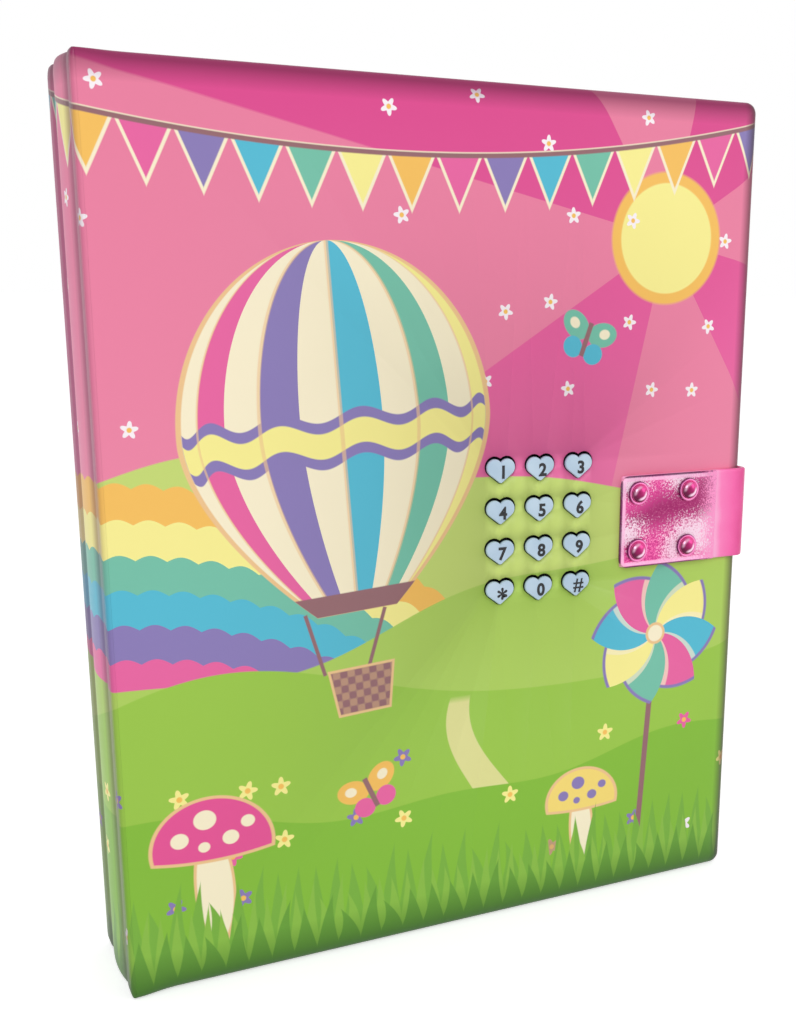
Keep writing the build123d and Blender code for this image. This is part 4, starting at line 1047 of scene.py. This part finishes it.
for vert in bm.verts:
    a, b, c = vert.co.x / MM - X_FOLD, vert.co.z / MM, vert.co.y / MM - Y_FACE
    if c < PLATE_BACK - 0.05:
        vert.co.y += min(plate_sink(a, b), PLATE_BACK - 0.02 - c) * MM
face_along(bm, (0, -1, 0), min(bm.faces, key=lambda face: face.calc_center_median().y))
plate = as_object(bm, "pressed_plate", foil, 40)
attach(plate, "front_cover")
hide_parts("clasp_plate")
print("plate has", len(plate.data.polygons), "faces")

# %% [markdown]
# ## The keys
# A key is a moulded heart with a softly rounded rim and a slight crown, on a stem that goes
# through the cover to a wider flange. All twelve share one set of rings. The mark is printed in
# black: it is a text curve, thickened a little, made into a mesh and laid on the crown.

# %% Key plastic and ink
keycap = Finish("key_plastic_pale_blue", Coat_Weight=0.3, Coat_Roughness=0.2)
at = keycap.place()
tint = keycap.noise(at, 0.12, 2.0)
x, y, z = keycap.parts(at)
shade = keycap.ramp(tint, [(0.3, paint(174, 198, 219)), (0.7, paint(192, 213, 230))])
# Painted shade: the key's sides below the cover face are near-black, as shade in the gap round each key.
painted_gap_shade = (y - (Y_FACE - 0.22)).soft(0.4)
keycap.set("Base Color", keycap.over(shade, paint(18, 26, 32), painted_gap_shade))
keycap.set("Roughness", keycap.noise(at, 1.5, 2.0) * 0.14 + 0.26)
keycap.bump(keycap.noise(at, 5.0, 2.0), 0.00001, 0.4)
ink_black = Finish("key_mark_ink", Base_Color=paint(16, 18, 24))
ink_black.set("Roughness", ink_black.noise(ink_black.place(), 4.0, 2.0) * 0.2 + 0.4)

# %% Twelve keys and their marks
KEY_RINGS = [
    (-0.38, -0.9), (-0.28, -0.87), (-0.16, -0.78), (-0.06, -0.62), (0.0, -0.4),
    (0.0, 0.4), (0.0, 5.7), (0.8, 5.7), (0.8, 6.5),
]
KEY_TOP, KEY_MIDDLE = -0.9, -0.9
MARKS = {"star": "*", "hash": "#"}
MARK_SIZES = {"star": 6.8, "hash": 5.2}
MARK_BOLD = {"star": 0.12, "hash": 0.06, "4": 0.13}
MARK_RIGHT, MARK_DOWN = 0.55, 0.25


def key_mesh(name):
    x, z = key_place(name)
    bm = bmesh.new()
    rings = []
    for scale, crown in ((0.12, 0.0), (0.4, 0.012), (0.68, 0.045), (0.88, 0.09)):
        outline = heart(KEY_RINGS[0][0])
        across = [hx * scale for hx, hz in outline]
        up = [z + KEY_MIDDLE + (hz - KEY_MIDDLE) * scale for hx, hz in outline]
        rings.append([front(x - X_FOLD + hx, hz, KEY_TOP + crown) for hx, hz in zip(across, up)])
    for grow, c in KEY_RINGS:
        drop = 0.11 if c < -0.85 else 0.0
        rings.append([front(x - X_FOLD + hx, z + hz, c + drop) for hx, hz in heart(grow)])
    made = add_rings(bm, rings)
    bm.faces.new(made[0])
    bm.faces.new(made[-1])
    face_along(bm, (0, -1, 0), min(bm.faces, key=lambda face: face.calc_center_median().y))
    return as_object(bm, "heart_key_" + name, keycap, 55)


def mark_mesh(name):
    x, z = key_place(name)
    text = bpy.data.curves.new("mark_" + name, "FONT")
    text.body = MARKS.get(name, name)
    text.align_x, text.align_y = "CENTER", "CENTER"
    text.size = MARK_SIZES.get(name, 4.6)
    text.offset = MARK_BOLD.get(name, 0.16)
    text.extrude = 0.05
    text.resolution_u = 6
    letter = new_object("mark_" + name, text)
    bpy.context.view_layer.update()
    mesh = bpy.data.meshes.new_from_object(letter.evaluated_get(bpy.context.evaluated_depsgraph_get()))
    bpy.data.objects.remove(letter)
    xs = [corner.co.x for corner in mesh.vertices]
    ys = [corner.co.y for corner in mesh.vertices]
    middle = Vector(((min(xs) + max(xs)) / 2, (min(ys) + max(ys)) / 2, 0))
    stand = Matrix.Rotation(pi / 2, 4, "X")
    spot = front(x - X_FOLD + MARK_RIGHT, z + KEY_MIDDLE - MARK_DOWN, KEY_TOP)
    mesh.transform(Matrix.Scale(MM, 4) @ Matrix.Translation(spot) @ stand @ Matrix.Translation(-middle))
    mesh.materials.clear()
    mesh.materials.append(ink_black.material)
    return new_object("key_mark_" + name, mesh)


for name in KEY_NAMES:
    key, mark = key_mesh(name), mark_mesh(name)
    for piece in (key, mark):
        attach(piece, "key_" + name)
    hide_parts("key_" + name)
print("a key has", len(key.data.polygons), "faces and a mark", len(mark.data.polygons))

# %% [markdown]
# ## Rivets, paper and springs by Geometry Nodes
# Things that repeat are grown by a small node tree: one rivet is described once and copied to the
# corners of a grid, one sheet of paper is copied along a line, and a spring is a spiral with a
# round wire on it. Each tree has named inputs, ends in plain geometry with its material set, and
# is turned into an ordinary mesh at once.

# %% A node tree with named inputs that becomes a mesh
class Recipe(Graph):
    """A Geometry Nodes tree whose inputs are sizes in mm."""

    def __init__(self, name, **sizes):
        super().__init__(bpy.data.node_groups.new(name, "GeometryNodeTree"))
        self.sizes, self.sockets = sizes, {}
        for label, value in sizes.items():
            kind = "NodeSocketInt" if isinstance(value, int) else "NodeSocketFloat"
            self.sockets[label] = self.tree.interface.new_socket(label, in_out="INPUT", socket_type=kind)
        self.tree.interface.new_socket("Geometry", in_out="OUTPUT", socket_type="NodeSocketGeometry")
        self.entry = self.tree.nodes.new("NodeGroupInput")
        self.exit = self.tree.nodes.new("NodeGroupOutput")

    def given(self, label):
        return Wire(self, self.entry.outputs[label])

    def moved(self, geometry, shift=(0, 0, 0), turn=(0, 0, 0), scale=(1, 1, 1)):
        inputs = {"Geometry": geometry, "Translation": shift, "Rotation": turn, "Scale": scale}
        return self.node("GeometryNodeTransform", {}, inputs)

    def joined(self, *pieces):
        made = self.tree.nodes.new("GeometryNodeJoinGeometry")
        for piece in pieces:
            self.tree.links.new(piece.socket, made.inputs[0])
        return Wire(self, made.outputs[0])

    def copied(self, piece, points):
        """The same piece at each of the points."""
        return self.node("GeometryNodeInstanceOnPoints", {}, {"Points": points, "Instance": piece})

    def xyz(self, x=0.0, y=0.0, z=0.0):
        return self.node("ShaderNodeCombineXYZ", {}, {0: x, 1: y, 2: z})

    def grow(self, name, geometry, finish, at, turn=(0, 0, 0), sharp=35):
        """Ends the tree, runs it on an empty mesh and returns the plain object, placed in mm."""
        scaled = self.moved(geometry, turn=turn, scale=(MM, MM, MM))
        placed = self.moved(scaled, shift=tuple(v * MM for v in at))
        real = self.node("GeometryNodeRealizeInstances", {}, {"Geometry": placed})
        last = self.node("GeometryNodeSetMaterial", {}, {"Geometry": real, "Material": finish.material})
        self.tree.links.new(last.socket, self.exit.inputs[0])
        made = new_object(name, bpy.data.meshes.new(name))
        recipe = made.modifiers.new("recipe", "NODES")
        recipe.node_group = self.tree
        for label, value in self.sizes.items():
            recipe[self.sockets[label].identifier] = value
        as_plain(made)
        made.data.shade_smooth()
        made.data.set_sharp_from_angle(angle=radians(sharp))
        print(name, "has", len(made.data.polygons), "faces")
        return made


# %% Metals, paper and plastics
def metal(name, colour, scale=1.2, rough=0.3, grain=(1, 1, 1), depth=0.00001):
    """A metal with fine brushing or grain along one way."""
    made = Finish(name, Metallic=1.0)
    at = made.vector("MULTIPLY", made.place(), grain)
    streak = made.noise(at, scale, 3.0, 0.6)
    dull = tuple(v * 0.72 for v in colour[:3]) + (1.0,)
    made.tint(streak, (0.25, dull), (0.7, colour))
    made.set("Roughness", streak * 0.24 + (rough - 0.12))
    made.bump(streak, depth, 0.6)
    return made


def moulded(name, colour, rough=0.45, scale=1.6, depth=0.00003, **fixed):
    """A moulded plastic or rubber with a fine spark-eroded texture and faint shade changes."""
    made = Finish(name, **fixed)
    at = made.place()
    broad, fine = made.noise(at, 0.05, 2.0), made.noise(at, scale, 2.0, 0.6)
    deep = tuple(v * 0.86 for v in colour[:3]) + (1.0,)
    made.tint(broad, (0.3, deep), (0.65, colour))
    made.set("Roughness", fine * 0.2 + (rough - 0.1))
    made.bump(fine, depth, 0.7)
    return made


rivet_metal = metal("polished_pink_metal", paint(236, 96, 168), 0.5, 0.2, depth=0.000004)
dome_metal = Finish("toned_pink_metal", Metallic=0.55)
at = dome_metal.place()
x, y, z = dome_metal.parts(at)
x = (((x - X_FOLD - RIVET_A) / RIVET_X).fract() - 0.5) * RIVET_X
z = (((z - STRAP_Z) / RIVET_Z).fract() - 0.5) * RIVET_Z
far = dome_metal.length(dome_metal.join(x, z))
streak = dome_metal.noise(at, 0.8, 2.0)
# Painted light on the rivet domes: a gradient from painted shade to painted highlight across each dome,
# a painted highlight crescent and ring, and painted shade on one side of the ring's outer edge.
shade_to_highlight_stops = [(0.1, paint(96, 4, 58)), (0.45, paint(158, 14, 92)), (0.9, paint(232, 70, 152))]
dome_colour_and_painted_light = dome_metal.ramp((x + z) * 0.16 + 0.42 + streak * 0.16, shade_to_highlight_stops)
off = dome_metal.length(dome_metal.join(x + 0.1, z - 0.1))
highlight_crescent = (0.42 - abs(off - 1.45)).soft(0.5)
highlight_crescent = highlight_crescent * ((x - z) * 0.7 - 0.62).soft(0.7)
highlight_ring = (0.3 - abs(far - 1.75)).soft(0.5) * ((z - x) * 0.7 - 1.2).soft(0.6) * 0.55
dome_colour_and_painted_light = dome_metal.over(dome_colour_and_painted_light, paint(255, 214, 238), highlight_crescent.most(highlight_ring))
rolled = (far - 2.42).soft(0.2)
dome_colour_and_painted_light = dome_metal.over(dome_colour_and_painted_light, paint(248, 138, 198), rolled)
shaded = (far - 2.98).soft(0.25) * ((z - x) * 0.35 + 0.4).soft(1.6)
dome_colour_and_painted_light = dome_metal.over(dome_colour_and_painted_light, paint(110, 24, 84), shaded)
dome_metal.set("Base Color", dome_colour_and_painted_light)
dome_metal.set("Roughness", streak * 0.1 + 0.18)
dome_metal.bump(streak, 0.000005, 0.5)
steel = metal("zinc_plated_steel", paint(205, 208, 212), 1.0, 0.3, (1, 1, 4))
bright_steel = metal("bright_steel", paint(222, 224, 228), 0.6, 0.18, (1, 1, 3), 0.000005)
dark_steel = metal("blackened_steel", paint(60, 61, 66), 0.8, 0.42)
copper = metal("enamelled_copper", paint(196, 110, 62), 0.8, 0.28, (0.2, 0.2, 6), 0.00003)

# %% Rivets of the clasp and of the tongue
def rivets(name, finish, at, turn, **sizes):
    """Domed rivets at the four corners of a grid, each in its rolled ring, with shank and tail."""
    made = Recipe(name, **sizes)
    dome_r, dome_h = made.given("dome radius"), made.given("dome height")
    ring_r, ring_h = made.given("ring radius"), made.given("ring height")
    dome = made.node("GeometryNodeMeshUVSphere", {}, {"Segments": 40, "Rings": 20, "Radius": dome_r})
    squash = made.xyz(1.0, 1.0, (dome_h + ring_h * 0.2) / dome_r)
    dome = made.moved(dome, shift=made.xyz(z=ring_h * 0.8), scale=squash)
    centred = {"Resolution": 48, "Radius": ring_r - ring_h}
    path = made.node("GeometryNodeCurvePrimitiveCircle", {}, centred)
    wire = made.node("GeometryNodeCurvePrimitiveCircle", {}, {"Resolution": 14, "Radius": ring_h})
    ring = made.node("GeometryNodeCurveToMesh", {}, {"Curve": path, "Profile Curve": wire})
    pieces = [dome, ring]
    back, shank = made.given("back"), made.given("shank radius")
    stem = made.node("GeometryNodeMeshCylinder", {}, {"Vertices": 24, "Radius": shank, "Depth": back})
    pieces.append(made.moved(stem, shift=made.xyz(z=back * -0.5)))
    wide, tall = made.given("tail radius"), made.given("tail height")
    tail = made.node("GeometryNodeMeshCylinder", {}, {"Vertices": 32, "Radius": wide, "Depth": tall})
    pieces.append(made.moved(tail, shift=made.xyz(z=-back)))
    grid = {
        "Size X": made.given("pitch across"), "Size Y": made.given("pitch up"),
        "Vertices X": made.given("across"), "Vertices Y": made.given("up"),
    }
    spots = made.node("GeometryNodeMeshGrid", {}, grid)
    return made.grow(name, made.copied(made.joined(*pieces), spots), finish, at, turn)


clasp_rivets = rivets(
    "clasp_rivets", dome_metal, front(RIVET_A, STRAP_Z, PLATE_TOP + 0.02), (pi / 2, 0, 0),
    **{"dome radius": 2.45, "dome height": 1.33, "ring radius": 3.28, "ring height": 0.44,
       "shank radius": 1.5, "back": 8.0, "tail radius": 2.6, "tail height": 0.8,
       "pitch across": RIVET_X, "pitch up": RIVET_Z, "across": 2, "up": 2},
)
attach(clasp_rivets, "front_cover")
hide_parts("rivets")
low, high = (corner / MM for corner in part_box("tongue_rivets"))
tongue_rivets = rivets(
    "tongue_rivets_turned", rivet_metal,
    (X_FORE + 1.62, (low.y + high.y) / 2, (low.z + high.z) / 2), (0, pi / 2, 0),
    **{"dome radius": 1.5, "dome height": 0.6, "ring radius": 1.88, "ring height": 0.18,
       "shank radius": 0.95, "back": 2.5, "tail radius": 0.95, "tail height": 0.2,
       "pitch across": 12.0, "pitch up": 0.1, "across": 2, "up": 1},
)
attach(tongue_rivets, "strap_end")
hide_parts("tongue_rivets")

# %% [markdown]
# The notebook is a stack of single sheets, ruled in pale blue with a pink margin. Real sheets
# never line up quite evenly, so each copy is shifted a little, by random numbers with a fixed
# seed. The ruling is only drawn where a face looks forwards or back.

# %% Paper and the three stacks of sheets
sheet_paper = Finish("ruled_paper")
at = sheet_paper.place()
x, y, z = sheet_paper.parts(at)
facing = sheet_paper.parts(sheet_paper.node("ShaderNodeNewGeometry", {}, {}, "Normal"))[1]
flat = (abs(facing) - 0.7).soft(0.1)
LINE_PITCH, LINES_TOP, LINES_FOOT, MARGIN_X = 7.0, 198, 14, -58.0
rule = (0.16 - abs((z / LINE_PITCH).fract() - 0.5) * LINE_PITCH).soft(0.12)
rule = rule * (LINES_TOP - z).soft(0.3) * (z - LINES_FOOT).soft(0.3)
margin = (0.2 - abs(x - MARGIN_X)).soft(0.15)
fibre = sheet_paper.noise(at, 0.8, 4.0)
tone = sheet_paper.ramp(fibre, [(0.3, paint(244, 238, 226)), (0.7, paint(252, 248, 240))])
tone = sheet_paper.over(tone, paint(150, 190, 222), rule * flat * 0.8)
tone = sheet_paper.over(tone, paint(238, 130, 180), margin * flat * 0.8)
sheet_paper.set("Base Color", tone)
sheet_paper.set("Roughness", fibre * 0.1 + 0.8)
sheet_paper.bump(sheet_paper.noise(at, 3.0, 3.0), 0.00003, 0.5)


def stack(node, body, count, seed):
    """Sheets copied along the depth of a node's own box."""
    low, high = (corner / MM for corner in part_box(node))
    size = high - low
    made = Recipe(
        node + "_sheets",
        sheets=count, wide=size.x - 0.5, thick=size.y, tall=size.z - 0.5, stray=0.22, seed=seed,
    )
    sheets, wide, thick, tall, stray, seed = (made.given(label) for label in made.sizes)
    pitch = thick / sheets
    row = {"Count": sheets, "Start Location": made.xyz(y=pitch * 0.5), "Offset": made.xyz(y=pitch)}
    line = made.node("GeometryNodeMeshLine", {"mode": "OFFSET"}, row)
    least, most = made.xyz(-stray, 0.0, -stray), made.xyz(stray, 0.0, stray)
    shift = {"Min": least, "Max": most, "Seed": seed}
    random = made.node("FunctionNodeRandomValue", {"data_type": "FLOAT_VECTOR"}, shift)
    line = made.node("GeometryNodeSetPosition", {}, {"Geometry": line, "Offset": random})
    leaf = made.node("GeometryNodeMeshCube", {}, {"Size": made.xyz(wide, pitch * 0.8, tall)})
    middle = ((low.x + high.x) / 2, low.y, (low.z + high.z) / 2)
    sheets = made.grow(node + "_sheets", made.copied(leaf, line), sheet_paper, middle)
    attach(sheets, body)
    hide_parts(node)


stack("page_block", "base", 46, 3)
stack("front_leaves", "front_leaves", 8, 5)
stack("middle_leaves", "middle_leaves", 8, 8)

# %% [markdown]
# Under the battery door, each cell is held by a coned spring, and the bolt is drawn by a coil of
# enamelled wire. Both are spirals with a round wire swept along them.

# %% Springs, contact plates and the bolt's coil
low, high = (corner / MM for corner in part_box("battery_contacts"))
cell_y = (low.y + high.y) / 2


def coiled(recipe, turns, start, end, height, wire):
    """A wire wound in a spiral that rises from z = 0."""
    shape = {"Resolution": 24, "Rotations": turns, "Height": height}
    shape |= {"Start Radius": start, "End Radius": end}
    path = recipe.node("GeometryNodeCurveSpiral", {}, shape)
    loop = recipe.node("GeometryNodeCurvePrimitiveCircle", {}, {"Resolution": 8, "Radius": wire})
    swept = {"Curve": path, "Profile Curve": loop, "Fill Caps": True}
    return recipe.node("GeometryNodeCurveToMesh", {}, swept)


contacts = Recipe("contacts", wide=3.1, narrow=1.8, length=3.2, wire=0.3, pitch=10.8, span=48.5)
wide, narrow, length, wire, pitch, span = (contacts.given(label) for label in contacts.sizes)
spring = coiled(contacts, 3.5, wide, narrow, length, wire)
spring = contacts.moved(spring, shift=contacts.xyz(z=wire + 0.2))
turned = contacts.moved(spring, turn=(pi, 0, 0), shift=contacts.xyz(z=span))
pieces = [contacts.moved(spring, shift=contacts.xyz(x=x)) for x in (-pitch, pitch)] + [turned]
pad = contacts.node("GeometryNodeMeshCube", {}, {"Size": (8.0, 8.0, 0.4)})
line = {"Count": 3, "Start Location": contacts.xyz(x=-pitch), "Offset": contacts.xyz(x=pitch)}
pads = contacts.copied(pad, contacts.node("GeometryNodeMeshLine", {"mode": "OFFSET"}, line))
for height in (0.0, span):
    pieces.append(contacts.moved(pads, shift=contacts.xyz(z=height)))
middle = ((low.x + high.x) / 2, cell_y, 9.7)
springs = contacts.grow("battery_springs", contacts.joined(*pieces), bright_steel, middle)
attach(springs, "base")
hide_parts("battery_contacts")

low, high = (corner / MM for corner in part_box("solenoid_coil"))
winding = Recipe("winding", radius=3.85, height=15.2, wire=0.34, turns=22.0)
radius, height, wire, turns = (winding.given(label) for label in winding.sizes)
wound = winding.moved(coiled(winding, turns, radius, radius, height, wire), shift=(0, 0, 0.4))
middle = ((low.x + high.x) / 2, (low.y + high.y) / 2, low.z)
coil = winding.grow("bolt_coil", wound, copper, middle)
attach(coil, "base")
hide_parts("solenoid_coil")

# %% [markdown]
# ## Finishes of the parts that keep their CAD shape
# The case, the boards, the lining and the works inside have the right shape already, so they only
# get their finishes. The lining is printed paper with small spots, the boards are grey pulp, the
# case is the same pink plastic throughout, and the circuit boards show traces under green resist.

# %% Lining paper, grey board, cloth and ribbon cable
lining = Finish("spotted_lining_paper")
at = lining.place()
x, y, z = lining.parts(at)
SPOT_PITCH = 9.0
shifted = ((z / SPOT_PITCH).floor() * 0.5).fract() * SPOT_PITCH
dx, dz = ((x + shifted) / SPOT_PITCH).fract() - 0.5, (z / SPOT_PITCH).fract() - 0.5
spot = (1.1 - lining.length(lining.join(dx, dz)) * SPOT_PITCH).soft(0.3)
fibre = lining.noise(at, 0.7, 4.0)
rose = lining.ramp(fibre, [(0.3, paint(238, 130, 180)), (0.7, paint(246, 150, 194))])
lining.set("Base Color", lining.over(rose, paint(254, 243, 222), spot))
lining.set("Roughness", fibre * 0.15 + 0.6)
lining.bump(fibre, 0.00003, 0.5)


def pressed_board(name, *stops):
    """A board of pressed fibre, full of flecks."""
    made = Finish(name)
    flecks = made.noise(made.place(), 1.2, 5.0, 0.7)
    made.tint(flecks, *stops)
    made.set("Roughness", flecks * 0.2 + 0.75)
    made.bump(flecks, 0.00008, 0.6)
    return made


pulp = pressed_board(
    "grey_board",
    (0.3, paint(120, 116, 110)), (0.6, paint(158, 154, 148)), (0.75, paint(196, 190, 180)),
)
card = pressed_board("blackened_board", (0.3, paint(22, 26, 28)), (0.75, paint(48, 52, 54)))

cloth = Finish("binding_cloth")
at = cloth.place()
x, y, z = cloth.parts(at)
threads = (z * 9.0).sin() * (y * 9.0).sin()
cloth.tint(threads * 0.5 + 0.5, (0.2, paint(196, 70, 130)), (0.8, paint(232, 110, 166)))
cloth.set("Roughness", threads * 0.08 + 0.85)
cloth.bump(threads, 0.00006, 0.8)

ribbon = Finish("grey_ribbon_cable")
x, y, z = ribbon.parts(ribbon.place())
wires = ((z - 125.0) * 6.2832).sin()
ribbon.tint(wires * 0.5 + 0.5, (0.1, paint(150, 152, 158)), (0.5, paint(206, 208, 214)))
ribbon.set("Roughness", wires * 0.05 + 0.45)
ribbon.bump(wires, 0.00012, 0.8)

# %% Circuit boards, cell jackets and the speaker's cone
resist = Finish("green_circuit_board", Coat_Weight=0.3, Coat_Roughness=0.15)
at = resist.place()
spread = {"Vector": at, "Scale": 0.28}
cells = resist.node("ShaderNodeTexVoronoi", {"feature": "DISTANCE_TO_EDGE"}, spread)
trace = (cells - 0.06).soft(0.03)
rings = resist.node("ShaderNodeTexVoronoi", {"feature": "F1"}, spread)
pad = (0.16 - rings).soft(0.03)
green = resist.over(paint(46, 122, 66), paint(20, 84, 44), trace)
resist.set("Base Color", resist.over(green, paint(210, 190, 120), pad))
resist.set("Metallic", pad * 0.8)
resist.set("Roughness", resist.noise(at, 1.0, 2.0) * 0.15 + 0.3)
resist.bump(trace * -1.0 + pad, 0.00003, 0.6)

jacket = Finish("cell_jacket", Coat_Weight=0.4, Coat_Roughness=0.12)
at = jacket.place()
x, y, z = jacket.parts(at)
bare = paint(206, 208, 212)
jacket.tint(
    (z - 10.0) / 48.0, (0.0, bare), (0.03, paint(70, 60, 140)), (0.62, paint(232, 232, 236)),
    (0.66, paint(86, 178, 176)), (0.97, bare), interpolation="CONSTANT",
)
jacket.set("Roughness", jacket.noise(at, 1.2, 2.0) * 0.12 + 0.24)
jacket.bump(jacket.noise(at, 2.0, 2.0), 0.00001, 0.5)

cone = Finish("pressed_cone_paper")
at = cone.place()
x, y, z = cone.parts(at)
CONE_FROM_EDGE, CONE_HIGH = 23.05, 170.0
far = cone.length(cone.join(x - X_FORE + CONE_FROM_EDGE, z - CONE_HIGH))
ridge = (far * 2.6).sin()
cone.tint(cone.noise(at, 1.6, 4.0), (0.3, paint(26, 26, 28)), (0.7, paint(52, 52, 56)))
cone.set("Roughness", ridge * 0.06 + 0.8)
cone.bump(ridge, 0.00008, 0.7)

case_pink = moulded("pink_case_plastic", paint(240, 128, 184), 0.42)
dark_plastic = moulded("black_case_plastic", paint(44, 44, 50), 0.5)
rubber = moulded("grey_keypad_rubber", paint(126, 128, 136), 0.62, 2.4, Sheen_Weight=0.2)
package = moulded("black_component", paint(26, 26, 30), 0.4, 2.0)
red_wire = moulded("red_wire", paint(196, 36, 44), 0.35, 3.0)

# %% Giving each CAD part its finish
finishes = {
    pulp: ["back_board", "spine_board"],
    card: ["front_board"],
    lining: ["back_lining", "front_lining", "spine_lining"],
    case_pink: ["inner_case", "electronics_deck", "battery_door", "keypad_back_cover"],
    dark_plastic: ["battery_box", "lock_housing", "keypad_housing"],
    steel: [
        "deck_screws", "battery_door_screw", "keypad_screws", "solenoid_frame",
        "rivet_backing_plate",
    ],
    bright_steel: ["lock_bolt", "latch_tongue"],
    dark_steel: ["speaker"],
    cone: ["speaker_cone"],
    resist: ["main_circuit_board", "keypad_circuit_board"],
    package: ["board_components"],
    ribbon: ["base_ribbon_cable", "spine_ribbon_cable", "cover_ribbon_cable"],
    red_wire: ["inner_wires"],
    jacket: ["batteries"],
    cloth: ["binding_strip"],
    rubber: ["rubber_keypad"],
}
for finish, names in finishes.items():
    for name in names:
        nodes[name].data.materials.clear()
        nodes[name].data.materials.append(finish.material)
print("CAD parts with a finish:", sum(len(names) for names in finishes.values()))

# %% [markdown]
# ## Floor, light and camera
# The photograph is a cut-out on white with a trace of shadow at the foot. The floor is white and
# adds a little light of its own for the camera only, so it reads as the page while its shadow
# still shows. One broad lamp from the upper left, a weak one from the right and an even sky give
# plain light. The camera matches the cover's four corners in the photograph, and its small shift
# stands for the way the photograph is cropped.

# %% A white floor, and a sky that the camera sees as white
SKY, FLOOR_GLOW = 0.62, 0.5


def to_the_eye(graph):
    """1 for a ray that comes straight from the camera or off or through a clear surface."""
    path = graph.tree.nodes.new("ShaderNodeLightPath")
    rays = ("Is Camera Ray", "Is Glossy Ray", "Is Transmission Ray")
    camera_ray, glossy_ray, clear_ray = (Wire(graph, path.outputs[name]) for name in rays)
    return (camera_ray + glossy_ray + clear_ray).least(1.0)


floor_paint = Finish("pale_floor", Roughness=0.9)
specks = floor_paint.noise(floor_paint.place(), 0.02, 2.0)
floor_paint.tint(specks, (0.3, paint(236, 236, 237)), (0.7, paint(240, 240, 241)))
floor_paint.set("Emission Color", (1.0, 1.0, 1.0, 1.0))
floor_paint.set("Emission Strength", to_the_eye(floor_paint) * FLOOR_GLOW)
bm = bmesh.new()
corners = [bm.verts.new((x, y, -0.0004)) for x, y in ((-6, -4), (6, -4), (6, 9), (-6, 9))]
bm.faces.new(corners)
floor = as_object(bm, "studio_floor", floor_paint)
floor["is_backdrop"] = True

world = bpy.data.worlds.new("even_sky")
bpy.context.scene.world = world
world.use_nodes = True
sky_graph = Graph(world.node_tree)
world.node_tree.nodes.clear()
page = {"Color": (1.0, 1.0, 1.0, 1.0), "Strength": to_the_eye(sky_graph) * (1.0 - SKY) + SKY}
background = sky_graph.node("ShaderNodeBackground", {}, page)
ending = world.node_tree.nodes.new("ShaderNodeOutputWorld")
world.node_tree.links.new(background.socket, ending.inputs["Surface"])

# %% Two lamps and the camera
def lamp(name, at, aim, size, watts):
    light = bpy.data.lights.new(name, "AREA")
    light.shape, light.size, light.energy = "DISK", size, watts
    made = new_object(name, light)
    made.location = at
    made.rotation_euler = (Vector(aim) - Vector(at)).to_track_quat("-Z", "Y").to_euler()


lamp("broad_lamp", (-0.75, -1.35, 1.05), (0, 0, 0.11), 0.9, 9.5)
lamp("right_lamp", (1.1, -1.0, 0.6), (0, 0, 0.11), 0.8, 2.5)

camera = bpy.data.cameras.new("camera")
camera.sensor_fit, camera.sensor_height, camera.lens = "VERTICAL", 36.0, 45.333
camera.shift_x, camera.shift_y = -0.1102, 0.0706
camera.clip_start, camera.clip_end = 0.01, 50.0
viewer = new_object("camera", camera)
right, up = Vector((0.8922, -0.4516, 0.0101)), Vector((0.0981, 0.2155, 0.9716))
ahead = Vector((0.4409, 0.8658, -0.2366))
turned = Matrix((right, up, -ahead)).transposed().to_4x4()
eye = front(-47.19, 177.46, -297.87)
viewer.matrix_world = Matrix.Translation(eye * MM) @ turned
bpy.context.scene.camera = viewer
bpy.context.scene.view_settings.view_transform = "Standard"

# %% The model's box, and the end
shown_box = [list(corner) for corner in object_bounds()]
print("visual box in mm:", [[round(v * 1000, 2) for v in corner] for corner in shown_box])
